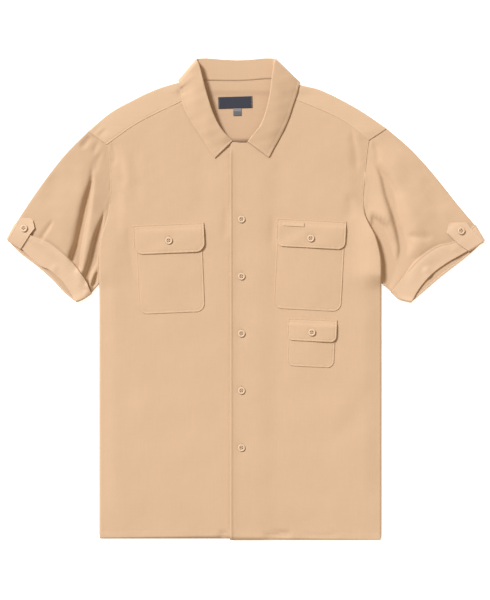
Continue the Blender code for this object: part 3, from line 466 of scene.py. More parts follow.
def fullness(x, y):
    """How full the body is: none at the shoulders and armholes, 1 over the chest."""
    shoulder = np.array(SHOULDERS["right"] + SHOULDERS["left"][::-1])
    below = (np.interp(x, *shoulder.T) - np.asarray(y)) * 0.85
    sides = [np.array(ARMHOLES[side][::-1]) for side in SIDES]
    inward = np.minimum(np.asarray(x) - np.interp(y, sides[0][:, 1], sides[0][:, 0]),
                        np.interp(y, sides[1][:, 1], sides[1][:, 0]) - np.asarray(x))
    return (1 - np.exp(-np.maximum(below, 0) / 22)) * smooth(-2, 30, inward)


def chest(x, y):
    """Height of the right front and of the yoke's front strips."""
    creases = sum(trough(x, y, *crease) for crease in FRONT_CREASES)
    above_hem = np.asarray(y) - HEM_LEFT
    flat = ground(x, y) + BODY_LOFT - HEM_SINK * (1 - smooth(0, 60, above_hem)) - creases
    flat = flat + CHEST_FULLNESS * fullness(x, y) * smooth(-20, 150, above_hem)
    flat = flat + 0.3 * rumple(x, y, 95, 3) + 0.1 * rumple(x, y, 31, 5)
    side = np.clip(1 - (HALF_BODY - LOWEST - np.abs(x)) / SIDE_TURN, 0, 1)
    below_armpit = 1 - smooth(ARMPIT, ARMPIT + 40, y)
    turned = LOWEST + (flat - LOWEST) * np.sqrt(np.clip(1 - side**2, 0, 1))
    return mix(flat, turned, below_armpit)


def front_height(side, x, y):
    """Height of a front: the left one passes over the right one at the button line."""
    if side == "right":
        return chest(x, y)
    overlap = LAYER * (1 - smooth(UNDERLAP + 5, UNDERLAP + 45, x))
    number = np.clip(np.round((BUTTON_FIRST - np.asarray(y)) / BUTTON_PITCH), 0, len(BUTTON_TURNS) - 1)
    away = np.hypot(np.asarray(x) - BUTTON_X, y - (BUTTON_FIRST - number * BUTTON_PITCH))
    return chest(x, y) + overlap - BUTTON_DIMPLE * hump(away, 0, 7)


# Finishes
class Wire:
    """A number, colour or vector on a node's socket that takes part in sums."""

    def __init__(self, bench, socket):
        self.bench = bench
        self.socket = socket

    def maths(self, operation, *values):
        return self.bench.node("ShaderNodeMath", {"operation": operation}, dict(enumerate(values)))

    def __add__(self, other):
        return self.maths("ADD", self, other)

    def __sub__(self, other):
        return self.maths("SUBTRACT", self, other)

    def __rsub__(self, other):
        return self.maths("SUBTRACT", other, self)

    def __mul__(self, other):
        return self.maths("MULTIPLY", self, other)

    __radd__ = __add__
    __rmul__ = __mul__

    def sine(self):
        return self.maths("SINE", self)


class Bench:
    """The node tree of one finish."""

    def __init__(self, name, roughness, sheen=0.0):
        self.material = bpy.data.materials.new(name)
        self.material.use_nodes = True
        self.tree = self.material.node_tree
        self.shader = self.tree.nodes["Principled BSDF"]
        self.shader.inputs["Roughness"].default_value = roughness
        self.shader.inputs["Sheen Weight"].default_value = sheen
        self.shader.inputs["Sheen Roughness"].default_value = 0.6
        self.shader.inputs["Specular IOR Level"].default_value = 0.25

    def feed(self, socket, value):
        """Lead a wire to a socket, or set a plain value on it."""
        if isinstance(value, Wire):
            self.tree.links.new(value.socket, socket)
        else:
            socket.default_value = value

    def node(self, kind, settings=None, values=None, output=0):
        """Add a node, its settings first and then its sockets' values or wires."""
        made = self.tree.nodes.new(kind)
        for key, value in (settings or {}).items():
            setattr(made, key, value)
        for key, value in (values or {}).items():
            self.feed(made.inputs[key], value)
        return Wire(self, made.outputs[output])

    def noise(self, place, scale, detail=2.0):
        """Soft noise between 0 and 1."""
        return self.node("ShaderNodeTexNoise", {"noise_dimensions": "3D"},
                         {"Vector": place, "Scale": scale, "Detail": detail, "Roughness": 0.55})

    def blend(self, share, first, second):
        """Blend two colours."""
        return self.node("ShaderNodeMix", {"data_type": "RGBA"},
                         {"Factor": share, 6: first, 7: second}, output=2)

    def grain(self, turn):
        """Places in millimetres, and how far across the warp, along it and up each one is."""
        place = self.node("ShaderNodeTexCoord", output=3)
        turned = self.node("ShaderNodeMapping", {"vector_type": "POINT"}, {
            "Vector": place, "Rotation": (0.0, 0.0, math.radians(turn)),
            "Scale": (1 / MM, 1 / MM, 1 / MM)})
        return [turned] + [self.node("ShaderNodeSeparateXYZ", None, {0: turned}, output=part)
                           for part in range(3)]

    def stretched(self, place, across, along):
        """The same places, stretched along the warp or the weft."""
        return self.node("ShaderNodeMapping", {"vector_type": "POINT"},
                         {"Vector": place, "Scale": (1 / across, 1 / along, 1 / along)})

    def finish(self, colour, bump=None, height=0.0, strength=1.0):
        """Feed the colour and the relief to the shader and give the material."""
        self.feed(self.shader.inputs["Base Color"], colour)
        if bump is not None:
            normal = self.node("ShaderNodeBump", None, {
                "Strength": strength, "Distance": height * MM, "Height": bump})
            self.feed(self.shader.inputs["Normal"], normal)
        return self.material


def rgba(colour, factor=1.0):
    """Colour with full cover, made lighter or darker by a factor."""
    return (*(min(1.0, c * factor) for c in colour), 1.0)


def woven(name, colour, turn=0.0, pitch=0.62, slub=1.0, inside=None):
    """Plain-woven washed cotton with uneven threads: warp along Y before it is turned; inside is a
    darker colour painted as shade on the cloth lying lowest, below about 2.2 mm.
    """
    bench = Bench(name, 0.88, sheen=0.12)
    place, across, along, up = bench.grain(turn)
    warp_slub = bench.noise(bench.stretched(place, 1.1, 46), 1.0)
    weft_slub = bench.noise(bench.stretched(place, 38, 1.2), 1.0)
    cloud = bench.noise(place, 0.016, detail=3.0)
    wander = (warp_slub - 0.5) * 0.5
    rate = 2 * math.pi / pitch
    threads = ((across + wander) * rate).sine() * ((along + wander) * rate).sine()
    tone = (warp_slub - 0.5) * (0.42 * slub) + (weft_slub - 0.5) * (0.2 * slub)
    tone = tone + (cloud - 0.5) * 0.24 + threads * 0.07 + 0.5
    base = bench.blend(tone, rgba(colour, 0.90), rgba(colour, 1.10))
    # Painted shade: the cloth below about 2.2 mm up takes the darker inside colour
    if inside:
        painted_shade = bench.blend(tone, rgba(inside, 0.90), rgba(inside, 1.10))
        base = bench.blend((up - 2.2) * 2.0, painted_shade, base)
    relief = threads * 0.5 + (warp_slub + weft_slub) * 0.5
    return bench.finish(base, relief, height=0.09, strength=0.7)


def taped(name, colour, pitch, folded=None):
    """Dense narrow tape with a fine twill rib; folded gives a place and the colour above it."""
    bench = Bench(name, 0.55, sheen=0.2)
    place, across, along = bench.grain(LABEL_TILT)[:3]
    rib = ((across + along) * (2 * math.pi / pitch)).sine()
    fleck = bench.noise(bench.stretched(place, 4, 0.5), 1.0)
    tone = rib * 0.16 + (fleck - 0.5) * 0.5 + 0.5
    base = bench.blend(tone, rgba(colour, 0.8), rgba(colour, 1.25))
    if folded:
        base = bench.blend((along - folded[0]) * 3.0, base, rgba(folded[1]))
    return bench.finish(base, rib, height=0.08, strength=0.6)


def spun(name, colour):
    """Twisted sewing thread."""
    bench = Bench(name, 0.7, sheen=0.15)
    across, along = bench.grain(0.0)[1:3]
    twist = ((across + along) * (2 * math.pi / 0.45)).sine()
    base = bench.blend(twist * 0.2 + 0.5, rgba(colour, 0.86), rgba(colour, 1.1))
    return bench.finish(base, twist, height=0.05, strength=0.5)


def polished(name, middle, rim_colour):
    """Horn-like button with soft clouding, paler on its rim, and a thin ring of painted shade round its
    outer edge.
    """
    bench = Bench(name, 0.42)
    bench.shader.inputs["Specular IOR Level"].default_value = 0.35
    place = bench.grain(35.0)[0]
    cloud = bench.noise(bench.stretched(place, 2.2, 7.0), 1.0, detail=3.0)
    spread = bench.node("ShaderNodeTexCoord", output=0)
    flat = bench.node("ShaderNodeVectorMath", {"operation": "MULTIPLY"}, {0: spread, 1: (1, 1, 0)})
    from_middle = bench.node("ShaderNodeVectorMath", {"operation": "DISTANCE"},
                             {0: flat, 1: (0.5, 0.5, 0.0)}, output=1)
    base = bench.blend(from_middle * 14.0 - 4.2, rgba(middle), rgba(rim_colour))
    base = bench.blend(cloud * 0.3, base, rgba(middle))
    # Painted shade: a thin dark ring at the button's outer edge
    base = bench.blend(from_middle * 40.0 - 18.6, base, rgba(BUTTON_EDGE_SHADE))
    return bench.finish(base, cloud, height=0.05, strength=0.25)


def papered(name):
    """Plain white light table."""
    bench = Bench(name, 0.9)
    bench.shader.inputs["Emission Color"].default_value = (1.0, 1.0, 1.0, 1.0)
    bench.shader.inputs["Emission Strength"].default_value = 0.6
    tone = bench.noise(bench.grain(0.0)[0], 0.02)
    return bench.finish(bench.blend(tone, (0.93, 0.93, 0.93, 1), (0.95, 0.95, 0.95, 1)))


# Making pieces
def placed(name, data):
    """Put data in the scene as an object."""
    item = bpy.data.objects.new(name, data)
    bpy.context.scene.collection.objects.link(item)
    return item


def mesh_piece(name, points, faces, finish, slot, node=None):
    """Make a mesh piece that rides on the shirt and may stand for a node."""
    data = bpy.data.meshes.new(name)
    data.from_pydata((np.asarray(points, float).reshape(-1, 3) * MM).tolist(), [], faces)
    data.polygons.foreach_set("use_smooth", [True] * len(data.polygons))
    data.update()
    piece = placed(name, data)
    data.materials.append(finish)
    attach(piece, "root")
    if node:
        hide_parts(node)
    return piece


def grid_faces(count, width, closed=False, keep=None):
    """Faces of a grid of points, as tuples of point numbers."""
    spans = width if closed else width - 1
    r, c = np.meshgrid(np.arange(count - 1), np.arange(spans), indexing="ij")
    if keep is not None:
        r, c = r[keep], c[keep]
    r, c = r.ravel(), c.ravel()
    after = (c + 1) % width
    faces = np.stack([r * width + c, r * width + after, (r + 1) * width + after, (r + 1) * width + c])
    return faces.T.tolist()


def cloth(node, rows, finish, name=None, closed=False, keep=None, slot="cloth",
          thickness=CLOTH):
    """Sheet of cloth over rows of points, in place of a node."""
    rows = np.asarray(rows, float)
    faces = grid_faces(*rows.shape[:2], closed, keep)
    piece = mesh_piece(name or node + "_cloth", rows, faces, finish, slot, node)
    if keep is not None:
        drop_loose(piece.data)
    solid = piece.modifiers.new("thickness", "SOLIDIFY")
    solid.thickness = thickness * MM
    solid.offset = 0.0
    node in CUTS
    return piece


def drop_loose(data):
    """Remove points that no face uses."""
    mesh = bmesh.new()
    mesh.from_mesh(data)
    loose = [v for v in mesh.verts if not v.link_faces]
    bmesh.ops.delete(mesh, geom=loose, context="VERTS")
    mesh.to_mesh(data)
    mesh.free()


# Sewing
SEWN = {}


def sew(group, line, up=1.0, pitch=3.0):
    """Lay a row of stitches along a line of points on the cloth."""
    line = np.asarray(line, float)
    steps = np.linalg.norm(np.diff(line, axis=0), axis=1)
    place = np.concatenate([[0.0], np.cumsum(steps)])
    count = max(1, int(place[-1] / pitch))
    starts = np.arange(count) * (place[-1] / count)
    ends = starts + 0.74 * pitch

    def at(where):
        return np.stack([np.interp(where, place, line[:, k]) for k in range(3)], -1)

    first, last = at(starts), at(np.minimum(ends, place[-1]))
    lift = np.array((0.0, 0.0, up))
    sideways = unit(np.cross(lift, last - first))
    middle = (first + last) / 2
    drift = 0.06 * np.sin(np.arange(count) * 2.3)[:, None] * sideways
    base = lift * 0.02
    ring = [first - base, middle + drift - sideways * 0.28, middle + drift + lift * 0.32,
            middle + drift + sideways * 0.28, last - base]
    SEWN.setdefault(group, []).append(np.stack(ring, 1))


def finish_sewing(finish):
    """Join each group of stitches into one piece."""
    for group, batches in SEWN.items():
        points = np.concatenate(batches)
        start = np.arange(len(points))[:, None] * 5
        faces = np.concatenate([start + corner for corner in
                                ((0, 1, 2), (0, 2, 3), (4, 2, 1), (4, 3, 2))])
        mesh_piece("stitching_" + group, points, faces.tolist(), finish, "cloth")


def surface_line(plan, height):
    """Line of points on top of a cloth."""
    return with_height(np.asarray(plan), np.asarray(height) + CLOTH / 2)


# Neck seam and collar
READ_RAY = spline(np.arange(len(COLLAR_RAYS)), COLLAR_RAYS)
ARC = np.radians(np.linspace(-90, 90, 9))


def from_end(side, number):
    """Ray number counted from the collar's end on a side."""
    return number if side == "right" else LAST_RAY - number


def over_front(number, plan):
    """Height of the front or yoke strip under a ray's point."""
    x, y = np.moveaxis(plan, -1, 0)
    on_left = np.asarray(number) > LAST_RAY / 2
    return np.where(on_left, front_height("left", x, y), front_height("right", x, y))


def ray(number):
    """Neck, fold and outer points of the collar at a ray number, and how far it is on top."""
    number = np.asarray(number, float)
    values = READ_RAY(number)
    neck, fold, outer = values[..., 0:2], values[..., 2:4], values[..., 4:6]
    to_end = np.minimum(number, LAST_RAY - number)
    turned = np.clip((to_end - RAY_SHOULDER) / (RAY_BACK - RAY_SHOULDER), 0, 1)
    on_top = 0.5 + 0.5 * np.cos(math.pi * turned)
    lowest = ground(*np.moveaxis(neck, -1, 0))
    neck_z = mix(lowest, over_front(number, neck), on_top)
    rise = np.interp(to_end, *zip(*COLLAR_RISE))
    fold_z = mix(LOWEST + LAYER / 2, over_front(number, neck) + rise, on_top)
    outer_z = mix(LOWEST, over_front(number, outer) + LAYER + 0.2, on_top ** 1.5)
    return (with_height(neck, neck_z), with_height(fold, fold_z),
            with_height(outer, outer_z), on_top)


def neck_edge(number, gap=0.2):
    """Edge of the cloth that is sewn to the collar, just outside the neck seam."""
    number = np.asarray(number, float)
    neck, _, _, on_top = ray(number)
    nearest = np.where(number < LAST_RAY / 2, np.minimum(number, RAY_SHOULDER),
                       np.maximum(number, LAST_RAY - RAY_SHOULDER))
    along = unit(READ_RAY(nearest + 0.1)[..., :2] - READ_RAY(nearest - 0.1)[..., :2])
    outside = np.stack([-along[..., 1], along[..., 0]], -1)
    away = unit(mix(np.array((0.0, -1.0)), outside, on_top[..., None] ** 3))
    gap = gap + 4 * on_top * (1 - on_top)
    return with_height(neck[..., :2] + gap[..., None] * away, neck[..., 2])


def build_collar(finish):
    """One-piece collar: up from the neck seam, over the fold and down to its outer edge."""
    columns = np.concatenate([[0, 0.03, 0.07, 0.12, 0.18, 0.25],
                              np.linspace(0.35, LAST_RAY - 0.35, 190),
                              LAST_RAY - np.array([0.25, 0.18, 0.12, 0.07, 0.03, 0])])
    neck, fold, outer, on_top = ray(columns)
    on_left = (columns > LAST_RAY / 2)[:, None]
    plan_out = unit(np.where(on_left, TURN_OUT["left"], TURN_OUT["right"]))
    tilt = np.arcsin(2 * on_top - 1)
    out = np.stack([np.cos(tilt) * plan_out[:, 0], np.cos(tilt) * plan_out[:, 1], np.sin(tilt)], -1)
    towards = fold - (neck + outer) / 2
    towards[:, 2] *= 1 - on_top
    towards = unit(towards - (towards * out).sum(-1, keepdims=True) * out)
    lively = smooth(0, 2.5, np.minimum(columns, LAST_RAY - columns))
    radius = mix(0.75, mix(0.9, 1.5, lively), on_top)[:, None]
    centre = fold - radius * towards
    rows = [mix(neck, centre - radius * out, share) for share in np.linspace(0, 0.95, 12)]
    rows += [centre + radius * swung(a, towards, out) for a in ARC]
    start = centre + radius * out
    width = np.linalg.norm(outer - start, axis=1)
    to_end = np.minimum(np.linalg.norm(outer - outer[0], axis=1),
                        np.linalg.norm(outer - outer[-1], axis=1))
    places = spaced(width, 22, first=False)
    lively = 0.25 + 0.75 * lively

    def leaf_lift(points, share):
        bulge = COLLAR_BULGE * np.sin(math.pi * share) + COLLAR_OFF * share
        return lively * bulge + 0.4 * rumple(points[:, 0], points[:, 1], 30, 13)

    for place in places.T[1:]:
        leaf = mix(start, outer, (place / width)[:, None])
        edge = np.minimum(width - place, to_end)
        lift = leaf_lift(leaf, place / width) + rim(edge, COLLAR_STITCH, 0.2, 0.3)
        lift = lift + 0.12 * pucker(leaf[:, 0], leaf[:, 1], edge - COLLAR_STITCH, 11)
        leaf[:, 2] += on_top * lift
        rows.append(leaf)
    cloth("collar", rows, finish)
    inset = 1 - COLLAR_STITCH / width
    seam = mix(start, outer, inset[:, None])
    seam[:, 2] += leaf_lift(seam, inset) + CLOTH / 2
    half = len(columns) // 2
    skip = 5
    for order in (slice(0, half), slice(None, half - 1, -1)):
        line = seam[order][on_top[order] > 0.98][skip:]
        sew("collar", line if order.step is None else line[::-1])
        tip = line[0]
        end_fold, end_outer = start[order][0] + UP * CLOTH / 2, outer[order][0]
        end_shift = tip - (end_outer + (end_fold - end_outer) * COLLAR_STITCH / width[0])
        end_shift[2] = 0
        line = mix(tip, end_fold + end_shift, np.linspace(0, 0.86, 30)[:, None])
        line[:, 2] = tip[2] + np.linspace(0, 1, 30) * (end_fold[2] - tip[2])
        line[:, 2] += COLLAR_BULGE * np.sin(math.pi * np.linspace(0.1, 1, 30)) * 0.2
        sew("collar", line)


# Body
def arm_corner(side):
    """Place along the armhole of its corner with the yoke seam."""
    steps = np.linalg.norm(np.diff(np.array(ARMHOLES[side]), axis=0), axis=1)
    return steps[:ARMHOLE_CORNER].sum() / steps.sum()


def body_armhole(side, share):
    """Armhole edge of the body."""
    line = curve(ARMHOLES[side])(share) + (-0.1 * SIGN[side], 0.1)
    limit = np.where(np.asarray(share) > 0.5, HALF_BODY - LOWEST, 300)
    line[..., 0] = np.clip(line[..., 0], -limit, limit)
    return line


def build_back(finish):
    """Back panel, flat on the table, from the hem to the yoke seam."""
    edge = HALF_BODY - 1.2
    ends = [((-edge, y), (edge, y)) for y in np.linspace(HEM_BACK, ARMPIT, 60)]
    for share in np.linspace(0.97, 0.001, 40):
        pair = [body_armhole(side, mix(arm_corner(side), 1.0, share)) for side in SIDES]
        ends.append([(np.clip(x, -edge, edge), y) for x, y in pair])
    ends = np.array(ends, float)
    plan = mix(ends[:, None, 0], ends[:, None, 1], np.linspace(0, 1, 60)[None, :, None])
    cloth("back", with_height(plan, LOWEST), finish)
    hem = np.array([(x, HEM_BACK + HEM_DEPTH) for x in np.linspace(-edge + 2, edge - 2, 300)])
    seam = mix(*(body_armhole(side, arm_corner(side)) for side in SIDES),
               np.linspace(0.005, 0.995, 300)[:, None]) + (0, 3.0)
    for line in (hem, seam):
        sew("back", with_height(line, LOWEST - CLOTH / 2 + 0.02), up=-0.4)


# Places of the yoke's points from the back seam to the neck, and down its front strip
YOKE_BACK = np.concatenate([np.linspace(0, 0.6, 8)[:-1], np.linspace(0.6, 1.0, 14)])
STRIP_PLACES = np.array([0.12, 0.24, 0.36, 0.48, 0.6, 0.7])


def yoke_column(plan, turned, front):
    """One column of the yoke: under the neck, around the shoulder, down the front strip."""
    flat = with_height(plan, ground(plan[:, 0], plan[:, 1]))
    return np.concatenate([flat, turned[1:], front])


def strip_rows(top, seam):
    """Points down the yoke's front strip, close together by its seam."""
    width = float(np.linalg.norm(seam - top))
    near = 1 - NEAR_EDGE[::-1] / width
    places = np.concatenate([STRIP_PLACES * near[0], near])
    return mix(top, seam, places[:, None]), width * (1 - places)


def yoke_shoulder_column(side, share, back):
    """Column of the yoke across a shoulder, a share of the way from armhole to neck."""
    corner = arm_corner(side)
    if share == 0:
        top, seam = body_armhole(side, 0.0), body_armhole(side, corner)
    else:
        top, seam = curve(SHOULDERS[side])(share), curve(YOKE_SEAMS[side])(share)
    strip, away = strip_rows(top, seam)
    outward = unit(top - strip[-1])
    radius = (float(chest(*top)) - float(ground(*top))) / 2 if share else FOLD
    centre = top - radius * outward
    low, high = float(ground(*centre)), float(chest(*strip[0]))
    turned = [(*(centre + radius * math.cos(a) * outward),
               mix(low, high, 0.5 + 0.5 * math.sin(a))) for a in ARC]
    x, y = strip.T
    height = chest(x, y) + 0.15 + rim(away, SEAM_STITCH, 0.2, 0.2)
    height = height + 0.16 * pucker(x, y, away - SEAM_STITCH, 21)
    past_corner = np.linalg.norm(strip - body_armhole(side, corner / 2), axis=1) - 18
    height = height + 0.2 * hump(np.maximum(past_corner, 0), 0, 4) * (share < 0.1)
    if share == 0:
        plan = body_armhole(side, mix(corner, 0.01, YOKE_BACK))
    else:
        plan = mix(np.asarray(back), centre, YOKE_BACK[:, None])
    return yoke_column(plan, np.array(turned), with_height(strip, height))


def yoke_neck_column(side, back):
    """Column of the yoke that ends along the neck seam beside the shoulder fold."""
    turned = neck_edge(from_end(side, np.linspace(RAY_BACK, RAY_SHOULDER, len(ARC))))
    start, end = (neck_edge(from_end(side, number))[:2] for number in (RAY_SHOULDER, RAY_YOKE))
    away = strip_rows(start, end)[1]
    places = 1 - away / np.linalg.norm(end - start)
    front = neck_edge(from_end(side, mix(RAY_SHOULDER, RAY_YOKE, places)))
    plan = mix(np.asarray(back), turned[0, :2], YOKE_BACK[:, None])
    return yoke_column(plan, turned, front)


def build_yoke(finish):
    """Yoke: under the neck from the back seam, over both shoulders to the front seams."""
    ends = [body_armhole(side, arm_corner(side)) for side in SIDES]
    shoulder = np.concatenate([[0, 0.012, 0.025, 0.045, 0.07], np.linspace(0.1, 0.97, 36)])

    def back_seam(x):
        return (x, mix(ends[0][1], ends[1][1], (x - ends[0][0]) / (ends[1][0] - ends[0][0])))

    def shoulder_columns(side):
        start = ends[0][0] if side == "right" else ends[1][0]
        return [yoke_shoulder_column(side, share, back_seam(mix(start, NECK_SIDE[side], share)))
                for share in shoulder]

    columns = shoulder_columns("right") + [yoke_neck_column("right", back_seam(NECK_SIDE["right"]))]
    first_neck = len(columns)
    blank = np.zeros((len(columns[0]) - len(YOKE_BACK) + 1, 3))
    for number in np.linspace(RAY_BACK, LAST_RAY - RAY_BACK, 36)[1:-1]:
        share = (number - RAY_BACK) / (LAST_RAY - 2 * RAY_BACK)
        back = back_seam(mix(NECK_SIDE["right"], NECK_SIDE["left"], share))
        edge = neck_edge(number)[:2] + (0, LAP)
        column = yoke_column(mix(np.asarray(back), edge, YOKE_BACK[:, None]), blank[:1], blank)
        past = np.clip((column[:len(YOKE_BACK), 1] - neck_edge(number)[1]) / LAP + 0.6, 0, 1)
        column[:len(YOKE_BACK), 2] -= 0.45 * past
        columns.append(column[:len(columns[0])])
    last_neck = len(columns)
    columns += [yoke_neck_column("left", back_seam(NECK_SIDE["left"]))]
    columns += shoulder_columns("left")[::-1]
    rows = np.array(columns).transpose(1, 0, 2)
    keep = np.ones((rows.shape[0] - 1, rows.shape[1] - 1), bool)
    keep[len(YOKE_BACK) - 1:, first_neck - 1:last_neck] = False
    cloth("yoke", rows, finish, keep=keep)
    for side in SIDES:
        share = np.linspace(0.02, 0.97, 160)
        seam, top = curve(YOKE_SEAMS[side])(share), curve(SHOULDERS[side])(share)
        line = seam + SEAM_STITCH * unit(top - seam)
        sew("yoke", surface_line(line, chest(*line.T) - 0.02))
        edge = body_armhole(side, np.linspace(0.02, arm_corner(side) - 0.01, 30))
        line = edge + SEAM_STITCH * unit((-SIGN[side], 1.2))
        sew("yoke", surface_line(line, chest(*line.T) + 0.12))


def front_edges(side):
    """Points down a front's inner edge and its outer edge, one pair for each row."""
    rays = np.array([RAY_YOKE, 4, 3.5, 3, 2.5, 2, 1.5, 1, 0.5])
    inner = [tuple(p) for p in neck_edge(from_end(side, rays))[:, :2]]
    if side == "left":
        inner += [(20.3, 260.0), (3.0, 258.7), (-12.6, 259.9), (-16.8, 252.0), (PLACKET_EDGE, 236.0)]
        edge_x, hem = PLACKET_EDGE, HEM_LEFT
    else:
        inner += [(-19.6, 262.3), (-8.0, 258.0), (4.0, 256.6), (UNDERLAP, 255.4), (UNDERLAP, 236.0)]
        edge_x, hem = UNDERLAP, HEM_RIGHT
    shares = [arm_corner(side), 0.185, 0.25, 0.32, 0.40, 0.48, 0.56, 0.64, 0.72, 0.80, 0.87,
              0.93, 0.968]
    outer = [tuple(body_armhole(side, share)) for share in shares]
    side_x = SIGN[side] * (HALF_BODY - LOWEST)
    outer += [(side_x, y) for y in np.linspace(ARMPIT, hem + 9, 11)]
    outer.append((side_x - SIGN[side] * 1.8, hem))
    left_over = len(outer) - len(inner)
    inner += [(edge_x, y) for y in np.linspace(236.0, hem, left_over + 1)[1:]]
    return np.array(inner), np.array(outer), hem


def arm_crest(side, y, distance):
    """Rise of a front that rolls over its armhole seam above the armpit."""
    along = (1 - smooth(95, 165, y)) * smooth(14, 44, y)
    roll = np.sqrt(1 - (1 - np.clip(distance / 3.5, 0, 1)) ** 2)
    return ARM_CREST[side] * along * roll * hump(distance, 0, 40)


def build_front(side, finish):
    """One front, between the yoke seam, the armhole and side, the hem and its front edge."""
    inner, outer, hem = front_edges(side)
    knots = np.arange(len(inner))
    fine = np.linspace(0, len(inner) - 1, 8 * (len(inner) - 1) + 1)
    inner, outer = spline(knots, inner)(fine), spline(knots, outer)(fine)
    width = np.linalg.norm(outer - inner, axis=1)
    places = spaced(width, 56)
    share = places / width[:, None]
    plan = mix(inner[:, None, :], outer[:, None, :], share[..., None])
    seam = curve(YOKE_SEAMS[side])
    bow = seam(1 - share[0]) - mix(seam(1.0), seam(0.0), share[0][:, None])
    fade = np.clip(1 - fine / 9.0, 0, 1)[:, None, None] ** 2
    plan = plan + bow[None] * fade
    x, y = np.moveaxis(plan, -1, 0)
    height = front_height(side, x, y)
    from_top = np.linalg.norm(plan - plan[0], axis=-1)
    from_inner, from_outer = places, width[:, None] - places
    below_neck = 1 - smooth(238, 252, y)
    placket = rim(from_inner, PLACKET_STITCH, 0.5, 0.3) + 1.2 * hump(from_inner, 0, 8)
    placket = placket * (side == "left")
    placket = placket + 0.14 * pucker(x, y, from_inner - PLACKET_STITCH, 31, 3.0)
    height = height + below_neck * placket
    above_armpit = smooth(ARMPIT + 5, ARMPIT + 45, y)
    arm_edge = 0.05 + rim(from_outer, SEAM_STITCH, 0.15, 0.2)
    arm_edge = arm_edge + 0.2 * pucker(x, y, from_outer - SEAM_STITCH, 33, 6.0)
    height = height + above_armpit * arm_edge * hump(from_outer, 0, 7)
    height = height + arm_crest(side, y, from_outer)
    height = height + rim(y - hem, HEM_DEPTH, 0.2, 0.3) + 0.16 * pucker(x, y, y - hem - HEM_DEPTH, 35)
    height = height - 0.12 * hump(from_top, 0, 2.6) + 0.22 * pucker(x, y, from_top, 37, 7.0)
    tucked = plan[0] + LAP * unit(plan[0] - plan[8])
    tuck = with_height(tucked, height[0] - 0.35)
    rows = np.concatenate([tuck[None], with_height(plan, height)])
    cloth("front_" + side, rows, finish)
    sew_front(side, hem)


def sew_front(side, hem):
    """Stitches of a front: along its front edge, its hem and beside the armhole."""
    sign = SIGN[side]
    edge_x = PLACKET_EDGE if side == "left" else UNDERLAP
    if side == "left":
        y = np.linspace(248, hem + 1.5, 420)
        line = np.stack([np.full(y.shape, edge_x + PLACKET_STITCH), y], -1)
        sew("front_left", surface_line(line, front_height("left", line[:, 0], y) - 0.1))
    x = np.linspace(edge_x + sign * 2, sign * (HALF_BODY - 4), 200)
    line = np.stack([x, np.full(x.shape, hem + HEM_DEPTH)], -1)
    sew("front_" + side, surface_line(line, front_height(side, x, line[:, 1]) - 0.1))
    edge = body_armhole(side, np.linspace(arm_corner(side) + 0.02, 0.9, 150))
    along = unit(np.gradient(edge, axis=0))
    inward = np.stack([-along[:, 1], along[:, 0]], -1) * -sign
    line = edge + SEAM_STITCH * inward
    lift = 0.1 + arm_crest(side, line[:, 1], np.full(len(line), SEAM_STITCH))
    sew("front_" + side, surface_line(line, front_height(side, *line.T) + lift))


# Pockets and flaps
def pocket_point(name, across, down):
    """Place on the shirt of a point given across and down from the middle of a flap's top."""
    _, x, y, tilt, *_ = POCKETS[name]
    across, down = np.broadcast_arrays(np.asarray(across, float), np.asarray(down, float))
    return np.stack(rotated(across, -down, tilt), -1) + (x, y)


def inside(across, down, width, depth, corner, start=-1e3):
    """Distance inside the outline of a panel with rounded lower corners."""
    side = np.abs(across) - (width / 2 - corner)
    low = np.asarray(down) - (depth - corner)
    past = np.hypot(np.maximum(side, 0), np.maximum(low, 0))
    near = corner - past - np.minimum(np.maximum(side, low), 0)
    return np.minimum(near, np.asarray(down) - start)


def rounded(width, depth, corner, start, inset=0.0):
    """Grid of points of a panel with rounded lower corners, close together by its edges."""
    width, depth, corner = width - 2 * inset, depth - inset, corner - inset
    side = spaced(width, 30) - width / 2
    flat = spaced(depth - corner - start, 22, last=False) + start
    down = np.concatenate([flat[:-1], depth - corner + corner * np.sin(np.linspace(0, math.pi / 2, 14))])
    past = np.clip(down - (depth - corner), 0, corner)
    half = width / 2 - corner + np.sqrt(np.clip(corner**2 - past**2, 0, None))
    return side[None, :] / (width / 2) * half[:, None], np.repeat(down[:, None], side.shape[0], 1)


def outline(width, depth, corner, start, inset):
    """Line down one side of a panel, around its lower corners and up the other side."""
    half, low, bend = width / 2 - inset, depth - inset, corner - inset
    turn = np.radians(np.linspace(0, 90, 16))
    right = [(half, d) for d in np.linspace(start, low - bend, 60)[:-1]]
    right += [(half - bend + bend * math.cos(a), low - bend + bend * math.sin(a)) for a in turn]
    right += [(s, low) for s in np.linspace(half - bend, 0, 40)[1:]]
    left = [(-s, d) for s, d in right[::-1][1:]]
    return np.array(right + left)


def on_pocket(name, across, down, height_at, lift=0.0, **reading):
    """Points on a pocket bag or a flap, lifted from the middle of its cloth."""
    height = height_at(name, across, down, **reading) + lift
    return with_height(pocket_point(name, across, down), height)


def bag_height(name, across, down, relief=True):
    """Height of a pocket bag, a little full in its middle."""
    side, width, depth, corner = POCKETS[name][0], *POCKETS[name][7:]
    x, y = np.moveaxis(pocket_point(name, across, down), -1, 0)
    full = np.clip(1 - (2 * across / width) ** 2, 0, 1) * np.sin(
        math.pi * np.clip(down / depth, 0, 1))
    height = front_height(side, x, y) + BAG_OFF + POCKET_FULLNESS * full
    if relief:
        edge = inside(across, down, width, depth, corner)
        height = height + rim(edge, EDGE_STITCH, 0.25, 0.25) + 0.16 * pucker(x, y, edge - 2, 41)
    return height


